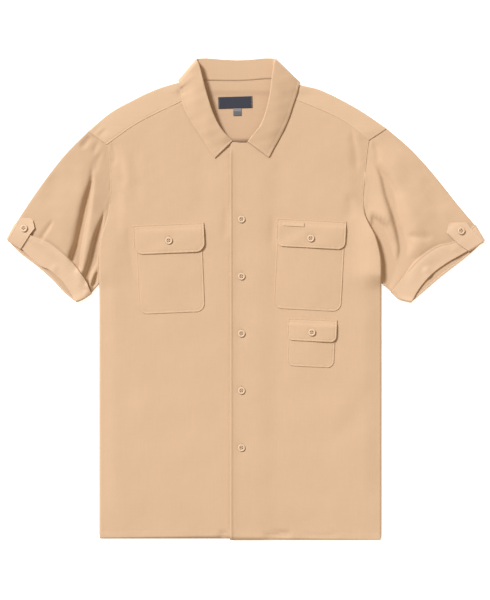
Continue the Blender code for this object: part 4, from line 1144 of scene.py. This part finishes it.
def flap_height(name, across, down, relief=True):
    """Height of a flap: on the front at its sewn top, over the pocket bag below."""
    side, width, depth, corner = POCKETS[name][0], *POCKETS[name][4:7]
    x, y = np.moveaxis(pocket_point(name, across, down), -1, 0)
    free = smooth(0, POCKET_MOUTH + 4, down)
    on_bag = bag_height(name, across, down, relief=False) + FLAP_BAG_OFF
    height = mix(front_height(side, x, y) + FLAP_TOP_OFF, on_bag, free)
    dimple = BUTTON_DIMPLE * hump(np.hypot(across, down - FLAP_BUTTON_SHARE[name] * depth), 0, 7)
    height = height + free * (FLAP_OFF + FLAP_EAST * (0.5 + across / width)) - 0.6 * dimple
    if relief:
        edge = inside(across, down, width, depth, corner, 0.0)
        height = height + rim(edge, EDGE_STITCH, 0.3, 0.35) + 0.16 * pucker(x, y, edge - 2, 43)
        height = height - 0.3 * hump(down, FLAP_SECOND_STITCH, 0.9)
        height = height + 0.3 * rumple(x, y, 38, 45) * smooth(4, 14, down)
    return height


def build_pocket(name, finish):
    """Pocket bag and the flap over it, with their stitches."""
    flap, bag = POCKETS[name][4:7], POCKETS[name][7:]
    rows = on_pocket(name, *rounded(*bag, POCKET_MOUTH), bag_height)
    bag_cloth = cloth("pocket_" + name, rows, finish)
    rows = on_pocket(name, *rounded(*flap, 0.0), flap_height)
    trims = [build_strip(FINISH["strip"])] if name == "left" else []
    cloth("flap_" + name, rows, finish, thickness=DOUBLED)
    line = outline(*bag, POCKET_MOUTH + 4, EDGE_STITCH)
    sew("pockets", on_pocket(name, *line.T, bag_height, CLOTH / 2))
    lines = [outline(*flap, EDGE_STITCH, EDGE_STITCH)]
    for place in (EDGE_STITCH, FLAP_SECOND_STITCH):
        across = np.linspace(-flap[0] / 2 + EDGE_STITCH, flap[0] / 2 - EDGE_STITCH, 60)
        lines.append(np.stack([across, np.full(across.shape, place)], -1))
    for line in lines:
        sew("flaps", on_pocket(name, *line.T, flap_height, DOUBLED / 2))


def build_strip(finish):
    """Narrow woven strip stitched on the left flap."""
    across, down = np.meshgrid(np.linspace(-0.5, 0.5, 50) * STRIP_SIZE[0] + STRIP_CENTRE[0],
                               np.linspace(-0.5, 0.5, 14) * STRIP_SIZE[1] + STRIP_CENTRE[1])
    edge = STRIP_SIZE[1] / 2 - np.abs(down - STRIP_CENTRE[1])
    rib = 0.16 * np.sin((down - STRIP_CENTRE[1]) * 2 * math.pi / 1.9)
    lift = STRIP_OFF + rib - 0.2 * hump(edge, 0, 0.5)
    rows = on_pocket("left", across, down, flap_height, lift, relief=False)
    piece = cloth("flap_strip", rows, finish, "strip_cloth")
    for row in (-0.42, 0.42):
        across = np.linspace(-0.5, 0.5, 30) * (STRIP_SIZE[0] - 1.6) + STRIP_CENTRE[0]
        down = np.full(across.shape, STRIP_CENTRE[1] + row * STRIP_SIZE[1])
        sew("flaps", on_pocket("left", across, down, flap_height, STRIP_OFF + CLOTH / 2,
                               relief=False), pitch=2.0)
    return piece


def build_labels(label_finish, loop_finish):
    """Bare neck label and the size loop below it, flat on the inside of the yoke."""
    c, s = math.cos(math.radians(LABEL_TILT)), math.sin(math.radians(LABEL_TILT))

    def on_yoke(across, down):
        return np.stack([LABEL_CENTRE[0] + across * c - down * s,
                         LABEL_CENTRE[1] + across * s + down * c], -1)

    for name, node, centre, size, finish, slot in (
            ("label_tape", "neck_label", (0, 0), LABEL_SIZE, label_finish, "label"),
            ("size_loop_tape", "size_loop", (3.0, -(LABEL_SIZE[1] + LOOP_SIZE[1]) / 2 - 0.3),
             LOOP_SIZE, loop_finish, "size_loop")):
        across, down = np.meshgrid(np.linspace(-0.5, 0.5, 40) * size[0] + centre[0],
                                   np.linspace(-0.5, 0.5, 20) * size[1] + centre[1])
        height = LOWEST + LABEL_OFF + 0.12 * rumple(across, down, 24, 51)
        cloth(node, with_height(on_yoke(across, down), height), finish, name, slot=slot)
    for end in (-1, 1):
        down = np.linspace(-0.46, 0.46, 12) * LABEL_SIZE[1]
        across = np.full(down.shape, end * (LABEL_SIZE[0] / 2 - 1.2))
        height = LOWEST + LABEL_OFF + CLOTH / 2 + 0.05
        sew("label", with_height(on_yoke(across, down), height), pitch=1.9)


# Sleeves, cuffs and tabs
class Sleeve:
    """A sleeve lying flat: two layers that share their outer fold and their underarm."""

    def __init__(self, side):
        table = SLEEVES[side]
        armhole = [(x + 0.1 * SIGN[side], y - 0.1) for x, y in ARMHOLES[side]]
        outer = curve([armhole[0]] + table["outer"])
        inner = curve([armhole[-1], table["cuff_top"][-1]])
        self.side = side
        self.folds = table["folds"]
        self.armhole = curve(armhole)
        self.cuff_top = curve(table["cuff_top"])
        self.upper = patch(self.armhole, self.cuff_top, outer, inner)
        ends = curve([table["outer"][-1], table["hem_front"][0]]), curve(table["inner_cuff"])
        self.cuff_front = patch(self.cuff_top, curve(table["hem_front"]), *ends)
        self.cuff_back = patch(self.cuff_top, curve(table["hem_back"]), *ends)

    def plan(self, across, down, layer):
        """Place of a point of the top or the bottom layer; down runs 0, 1 at the cuff, 2."""
        cuff = self.cuff_front if layer == "top" else self.cuff_back
        across, down = np.broadcast_arrays(np.asarray(across, float), np.asarray(down, float))
        above = self.upper(across, np.clip(down, -0.1, 1))
        below = cuff(across, np.clip(down - 1, 0, 1.2))
        return np.where((down <= 1)[..., None], above, below)

    def floor(self, down):
        """Height of the bottom layer: a layer higher where the cuff lies under it."""
        return LOWEST + LAYER * smooth(0.6, 0.985, down)

    def length(self, across):
        """How long the sleeve is from its armhole to its cuff."""
        return np.linalg.norm(self.armhole(across) - self.cuff_top(across), axis=-1)

    def height(self, across, down):
        """Height of the top layer, with its folds."""
        across, down = np.broadcast_arrays(np.asarray(across, float), np.asarray(down, float))
        x, y = np.moveaxis(self.plan(across, down, "top"), -1, 0)
        clear = (1 - (1 - np.clip(across / 0.7, 0, 1)) ** 2) * smooth(0.0, 0.09, 1 - across)
        rise = mix(64.0, 24.0, smooth(0.4, 0.7, across))
        clear = clear * smooth(0.0, rise, down * self.length(across))
        edge = smooth(0.0, 0.05, across) * smooth(0.0, 0.05, 1 - across)
        in_cuff = mix(*(smooth(*share, down) for share in SETTLES[self.side]),
                      smooth(0.4, 0.65, across))
        under_cuff = smooth(0.985, 1.0, down)
        relief = sum(trough(x, y, *fold) for fold in self.folds)
        loft = mix(SLEEVE_LOFT, CUFF_LOFT[self.side], in_cuff)
        lift = clear * mix(loft, HEM_LOFT[self.side], smooth(1.15, 2.0, down))
        drop = relief * mix(1.0, 0.25, under_cuff) * edge
        drop = drop * smooth(0.0, 5.0, down * self.length(across))
        swell = (0.45 * rumple(x, y, 60, 61) + 0.14 * rumple(x, y, 24, 63)) * edge
        base = self.floor(down) + 2 * FOLD
        gathers = 0.22 * pucker(x, y, down * self.length(across), 65, 9.0) * edge
        wanted = base + lift - drop + swell * mix(1.0, 0.6, in_cuff) + gathers
        lowest = self.floor(down) + 1.2
        return lowest + 0.5 * np.logaddexp(0.0, (wanted - lowest) / 0.5)

    def top(self, across, down, lift=0.0):
        """Points of the top layer, lifted from the middle of its cloth."""
        return with_height(self.plan(across, down, "top"), self.height(across, down) + lift)

    def ring(self, down, out=0.0):
        """Points once around the sleeve at each share down, moved out from its surface."""
        down = np.atleast_1d(np.asarray(down, float))[:, None]
        top = np.concatenate([[0.012, 0.024, 0.036], np.linspace(0.05, 0.95, 84),
                              [0.964, 0.976, 0.988]])[None, :]
        bottom = np.linspace(0.988, 0.012, 34)[None, :]
        parts = []
        for end, angles in ((0.0, ARC[None, :]), (1.0, -ARC[None, :])):
            edge = self.plan(end, down, "top")
            inward = unit(self.plan(abs(end - 0.03), down, "top") - edge)
            radius = FOLD + out
            plan = edge + inward * FOLD - radius * np.cos(angles)[..., None] * inward
            height = self.floor(down) + FOLD + radius * np.sin(angles)
            parts.append(with_height(plan, height))
        lower = with_height(self.plan(bottom, down, "back"), self.floor(down) - out + 0 * bottom)
        return np.concatenate([parts[0], self.top(top, down, out), parts[1], lower], axis=1)


def build_sleeve(side, finish, cuff_finish):
    """Sleeve, its turned-up cuff and the tab buttoned over the cuff."""
    sleeve = Sleeve(side)
    last = 1 + (CUFF_DEPTH - SLEEVE_END) / CUFF_DEPTH
    down = np.concatenate([[0, 0.006, 0.012, 0.02, 0.03, 0.042], np.linspace(0.06, 1.0, 58),
                           np.linspace(1.08, last - 0.008, 10), [last]])
    body = sleeve.ring(down)
    middle = LOWEST + FOLD
    squeeze = 1 - 0.15 * hump(down * 210, 0, 4) - 0.2 * hump((1 - down) * 190, 1.5, 3)
    body[..., 2] = middle + (body[..., 2] - middle) * squeeze[:, None]
    ahead = unit(body[0, :, :2] - sleeve.ring(0.05)[0, :, :2])
    tuck = body[0].copy()
    tuck[:, :2] += LAP * ahead
    tuck[:, 2] = middle + (tuck[:, 2] - middle) * 0.7
    rows = np.concatenate([tuck[None], body])
    cloth("sleeve_" + side, rows, finish, closed=True)

    turn = 2 - LAYER / 2 / CUFF_DEPTH
    outer_down = np.concatenate([[1, 1.015, 1.035, 1.06, 1.09], np.linspace(1.13, turn, 13)])
    outer = sleeve.ring(outer_down, LAYER)
    top_side = outer[..., 2] > LOWEST + LAYER + 2 * FOLD
    outer[..., 2] += top_side * rim((outer_down - 1)[:, None] * CUFF_DEPTH, 2.4, 0.4, 0.3)
    surface = sleeve.ring(turn)[0]
    forward = unit(surface - sleeve.ring(turn - 0.05)[0])
    out = (outer[-1] - surface) / LAYER
    centre = (outer[-1] + surface) / 2
    fold = [centre + LAYER / 2 * swung(a, out, forward)
            for a in np.radians((22, 45, 68, 90, 112, 135, 158))]
    hem = sleeve.ring(2 - CUFF_HEM / CUFF_DEPTH)
    cloth("cuff_" + side, np.concatenate([outer, np.array(fold), hem]), cuff_finish, closed=True)
    build_tab(side, sleeve, turn, cuff_finish)


def on_tab(sleeve, across, down, lift=0.0):
    """Points of a tab's top leg: over the cuff, then down on the sleeve at its point."""
    return sleeve.top(across, down, mix(LAYER, 2 * LAYER, smooth(0.86, 0.93, down)) + lift)


def build_tab(side, sleeve, turn, finish):
    """Tab from inside the cuff around its hem and up to its buttoned point."""
    table = TABS[side]
    near = np.array([0, 0.02, 0.045, 0.075, 0.11, 0.16])
    share = np.concatenate([near, np.linspace(0.22, 0.78, 14), 1 - near[::-1]])

    def limits(down):
        """The tab's two edges, in shares of the sleeve's width."""
        rise = np.clip((2 - down) / (2 - table["shoulder"][1]), 0, 1)
        return (mix(table["low"][0], table["high"][0], rise),
                mix(table["low"][1], table["high"][1], rise))

    rows = []
    for down in (1.6, 1.7, 1.8, 1.9, turn):
        first, last = limits(down)
        across = mix(last, mix(last, first, TAB_INNER_SHARE), share)
        rows.append(sleeve.top(across, down, -LAYER))
    first, last = limits(turn)
    across = mix(last, first, share)
    surface = sleeve.top(across, turn)
    before = with_height(sleeve.plan(across, turn - 0.1, "top"), sleeve.height(across, turn))
    ahead = unit(surface - before)
    for angle in np.radians((-68, -45, -22, 0, 22, 45, 68, 90)):
        rows.append(surface + UP * LAYER / 2 + 1.5 * LAYER * swung(angle, ahead, UP))
    from_edge = np.minimum(share, 1 - share) * TAB_WIDTH
    leg, point = [], []
    for step in np.concatenate([np.linspace(0.06, 0.94, 22), [0.97, 1.0]]):
        ends = [mix(turn, shoulder, step) for shoulder in table["shoulder"]]
        down = mix(ends[1], ends[0], share)
        first, last = limits(float(np.mean(down)))
        across = mix(last, first, share)
        leg.append(on_tab(sleeve, across, down, rim(from_edge, SEAM_STITCH, 0.3, 0.3)))
    tip_across, tip_down = table["tip"]
    for step in (0.12, 0.25, 0.4, 0.55, 0.7, 0.84, 0.93, 0.98, 1.0):
        across_tip = tip_across + TAB_TIP_WIDTH / 2 * (1 - 2 * share)
        across_now = mix(across, across_tip, step)
        down_now = mix(down, tip_down, step)
        edge = rim((from_edge + TAB_POINT) * (1 - step), SEAM_STITCH, 0.2, 0.2)
        point.append(on_tab(sleeve, across_now, down_now, edge))
    cloth("tab_" + side, rows + leg + point, finish,
          thickness=DOUBLED)
    leg, point = np.array(leg[1:]), np.array(point)
    inset = 3
    line = np.concatenate([leg[:, inset], point[:-4, inset], point[-4:-3, share.size // 2],
                           point[:-4, -inset - 1][::-1], leg[:, -inset - 1][::-1]])
    sew("tabs", line + UP * DOUBLED / 2)

    a, d = table["button"]
    spots = [on_tab(sleeve, p, q) for p, q in ((a, d), (a + 0.01, d), (a, d - 0.01))]
    place_button("tab_" + side, spots[0] + UP * 0.15, facing(spots), table["turn"])


# Buttons
BUTTON_PARTS = {}


def facing(spots):
    """Upward normal of the cloth through three points."""
    normal = np.cross(spots[1] - spots[0], spots[2] - spots[0])
    return normal if normal[2] > 0 else -normal


def turned_button():
    """Button blank with a raised rim, a dished middle and four drilled holes."""
    profile = [(0, 0), (0.5, 0), (0.72, 0.06), (0.9, 0.26), (1, 0.5), (0.995, 0.66), (0.965, 0.84),
               (0.92, 0.94), (0.84, 1.0), (0.74, 1.0), (0.66, 0.95), (0.6, 0.84), (0.5, 0.8), (0, 0.8)]
    steps = 48
    points = [(r * math.cos(a) * BUTTON_RADIUS, r * math.sin(a) * BUTTON_RADIUS, h * BUTTON_HEIGHT)
              for r, h in profile[1:-1] for a in np.linspace(0, 2 * math.pi, steps, endpoint=False)]
    rings = len(profile) - 2
    faces = grid_faces(rings, steps, closed=True)
    low, high = len(points), len(points) + 1
    points += [(0, 0, 0), (0, 0, profile[-1][1] * BUTTON_HEIGHT)]
    top = (rings - 1) * steps
    for k in range(steps):
        after = (k + 1) % steps
        faces.append([low, after, k])
        faces.append([high, top + k, top + after])
    return points, faces


def drilled(points, faces):
    """Cut the four holes through a button blank and return its points and faces."""
    blank = bpy.data.meshes.new("blank")
    blank.from_pydata(points, [], faces)
    pins = bmesh.new()
    for x, y in ((1, 1), (-1, 1), (-1, -1), (1, -1)):
        pin = bmesh.ops.create_cone(pins, cap_ends=True, segments=16, radius1=BUTTON_HOLE,
                                    radius2=BUTTON_HOLE, depth=4 * BUTTON_HEIGHT)
        bmesh.ops.translate(pins, vec=Vector((x, y, 0)) * BUTTON_SPREAD, verts=pin["verts"])
    drill_data = bpy.data.meshes.new("pins")
    pins.to_mesh(drill_data)
    pins.free()
    body, drill = placed("blank", blank), placed("pins", drill_data)
    cut = body.modifiers.new("holes", "BOOLEAN")
    cut.operation = "DIFFERENCE"
    cut.solver = "EXACT"
    cut.object = drill
    made = body.evaluated_get(bpy.context.evaluated_depsgraph_get()).to_mesh()
    result = (np.array([v.co for v in made.vertices]), [list(p.vertices) for p in made.polygons])
    for item in (body, drill):
        bpy.data.objects.remove(item, do_unlink=True)
    return result


def thread_cross():
    """Two crossed strands of thread through a button's holes."""
    points, faces = [], []
    low, far = 0.8 * BUTTON_HEIGHT - 0.9, BUTTON_SPREAD
    for way, rise in ((1, 1.0), (-1, 1.2)):
        start, end = np.array([(-far, -far * way, low), (far, far * way, low)])
        first = len(points)
        for t in np.linspace(0, 1, 9):
            middle = mix(start, end, t) + UP * rise * math.sin(math.pi * t)
            side = unit(np.cross(UP, end - start))
            points += [middle + 0.2 * swung(angle, side, UP)
                       for angle in np.radians((0, 60, 120, 180, 240, 300))]
        faces += [[first + i for i in face] for face in grid_faces(9, 6, closed=True)]
    return np.array(points), faces


def place_button(name, middle, normal, turn):
    """Seat one button and its thread on the cloth."""
    normal = unit(np.asarray(normal, float))
    first = unit(np.cross(np.cross(normal, (*rotated(1.0, 0.0, turn), 0.0)), normal))
    second = np.cross(normal, first)
    base = np.asarray(middle, float) + (CLOTH / 2 + BUTTON_OFF) * normal
    node = "button_" + name
    turned = np.stack([first, second, normal])
    points, faces = BUTTON_PARTS["disc"]
    disc = mesh_piece(node + "_disc", base + points @ turned, faces, FINISH["button"], "button", node)
    disc.modifiers.new("crisp", "EDGE_SPLIT").split_angle = math.radians(48)
    points, faces = BUTTON_PARTS["thread"]
    mesh_piece(node + "_thread", base + points @ turned, faces, FINISH["thread_dark"], "cloth")


def buttonhole(middle, along, height_at):
    """Dense stitches around a buttonhole, along a direction on the cloth."""
    along = unit(along)
    aside = np.array((-along[1], along[0]))
    for side in (-1, 1):
        for t in np.linspace(-0.5, 0.5, 46):
            near = np.asarray(middle) + along * t * BUTTONHOLE + aside * side * 0.25
            line = np.array([near, near + aside * side * 1.1])
            sew("buttonholes", surface_line(line, height_at(line) + 0.12), pitch=1.1)


def build_buttons():
    """Buttons and buttonholes of the front edge and of the pocket flaps."""
    for number, turn in enumerate(BUTTON_TURNS):
        y = BUTTON_FIRST - number * BUTTON_PITCH
        seat = (BUTTON_X, y, float(front_height("left", BUTTON_X, y)) + 0.1)
        place_button(f"front_{number + 1}", seat, UP, turn)
        buttonhole((BUTTON_X, y + 1.0), (0, 1), lambda line: front_height("left", *line.T))
    for name, share in FLAP_BUTTON_SHARE.items():
        _, x, y, tilt, _, depth, *_ = POCKETS[name]
        down = share * depth
        spots = [on_pocket(name, np.array(a), np.array(d), flap_height, relief=False)
                 for a, d in ((0, down), (3.0, down), (0, down - 3.0))]
        place_button("pocket_" + name, spots[0] + UP * 0.25, facing(spots), 4)

        def on_flap(line, name=name, x=x, y=y, tilt=tilt):
            across, up = rotated(line[:, 0] - x, line[:, 1] - y, -tilt)
            return flap_height(name, across, -up, relief=False) + (DOUBLED - CLOTH) / 2

        buttonhole(pocket_point(name, 0.0, down - 1.5), rotated(0.0, 1.0, tilt), on_flap)


# Flat cuts of the cloth pieces: width, length and area in metres
CUTS = {
    "back": (0.469, 0.660, 0.300),
    "yoke": (0.500, 0.190, 0.053),
    "front_right": (0.254, 0.740, 0.172),
    "front_left": (0.252, 0.740, 0.171),
    "collar": (0.560, 0.090, 0.031),
    "pocket_right": (0.109, 0.137, 0.0147),
    "pocket_left": (0.112, 0.139, 0.0153),
    "pocket_small": (0.0775, 0.069, 0.0052),
    "flap_right": (0.1175, 0.048, 0.0055),
    "flap_left": (0.115, 0.046, 0.0052),
    "flap_small": (0.0815, 0.0365, 0.0029),
    "neck_label": (0.0565, 0.0193, None),
    "size_loop": (0.0134, 0.012, None),
    "sleeve_right": (0.506, 0.215, 0.058),
    "sleeve_left": (0.520, 0.235, 0.067),
    "cuff_right": (0.350, 0.045, 0.0136),
    "cuff_left": (0.360, 0.045, 0.0140),
    "tab_right": (0.027, 0.070, 0.0018),
    "tab_left": (0.034, 0.070, 0.0022),
}

FINISH = {
    "body": woven("tan_cotton_body", TAN),
    "yoke": woven("tan_cotton_yoke", TAN_LIGHT, turn=90.0, inside=TAN_PAINTED_SHADE_INSIDE),
    "collar": woven("tan_cotton_collar", TAN, turn=88.0),
    "pocket": woven("tan_cotton_pocket", TAN, turn=-2.5),
    "sleeve_right": woven("tan_cotton_sleeve_right", TAN_SLEEVE_PAINTED_SHADE, turn=38.0),
    "sleeve_left": woven("tan_cotton_sleeve_left", TAN, turn=-40.0),
    "cuff_right": woven("tan_cotton_cuff_right", TAN_PALE_PART_PAINTED_LIGHT, turn=52.0),
    "cuff_left": woven("tan_cotton_cuff_left", TAN_PALE_PART_PAINTED_LIGHT, turn=-52.0),
    "strip": woven("tan_tape", TAN_LIGHT, turn=3.0, pitch=0.9, slub=0.6),
    "label": taped("navy_tape", NAVY, 0.8),
    "size_loop": taped("grey_tape", GREY, 0.7, folded=(311.0, GREY_PALE)),
    "thread": spun("tan_thread", THREAD),
    "thread_dark": spun("tan_thread_dark", TAN_DARK),
    "button": polished("pale_button", BUTTON_MIDDLE, BUTTON_RIM),
    "floor": papered("white_floor"),
}


def build_studio():
    """White floor, broad soft light from the upper left, and the camera straight above."""
    scene = bpy.context.scene
    data = bpy.data.meshes.new("studio_floor")
    corners = [(x * FLOOR_HALF, y * FLOOR_HALF, FLOOR_DROP)
               for x, y in ((-1, -1), (1, -1), (1, 1), (-1, 1))]
    data.from_pydata(corners, [], [(0, 1, 2, 3)])
    data.materials.append(FINISH["floor"])
    placed("studio_floor", data)

    world = bpy.data.worlds.new("studio")
    scene.world = world
    world.use_nodes = True
    sky = world.node_tree.nodes["Background"]
    sky.inputs["Color"].default_value = SKY
    sky.inputs["Strength"].default_value = SKY_STRENGTH

    lamp = bpy.data.lights.new("window_light", "SUN")
    lamp.energy = WINDOW_STRENGTH
    lamp.color = WINDOW
    lamp.angle = math.radians(WINDOW_SPREAD)
    light = placed("window_light", lamp)
    light.rotation_euler = Vector(WINDOW_WAY).to_track_quat("-Z", "Y").to_euler()

    lens = bpy.data.cameras.new("camera")
    lens.lens = CAMERA_LENS
    lens.sensor_width = 36.0
    lens.clip_start, lens.clip_end = 0.05, 50.0
    scene.camera = placed("camera", lens)
    scene.camera.location = CAMERA_PLACE
    scene.view_settings.view_transform = "Standard"


build_studio()
BUTTON_PARTS["disc"] = drilled(*turned_button())
BUTTON_PARTS["thread"] = thread_cross()
build_back(FINISH["body"])
build_yoke(FINISH["yoke"])
for wearer_side in SIDES:
    build_front(wearer_side, FINISH["body"])
build_collar(FINISH["collar"])
for pocket in POCKETS:
    build_pocket(pocket, FINISH["pocket"])
build_labels(FINISH["label"], FINISH["size_loop"])
for wearer_side in SIDES:
    build_sleeve(wearer_side, FINISH["sleeve_" + wearer_side], FINISH["cuff_" + wearer_side])
build_buttons()
finish_sewing(FINISH["thread"])
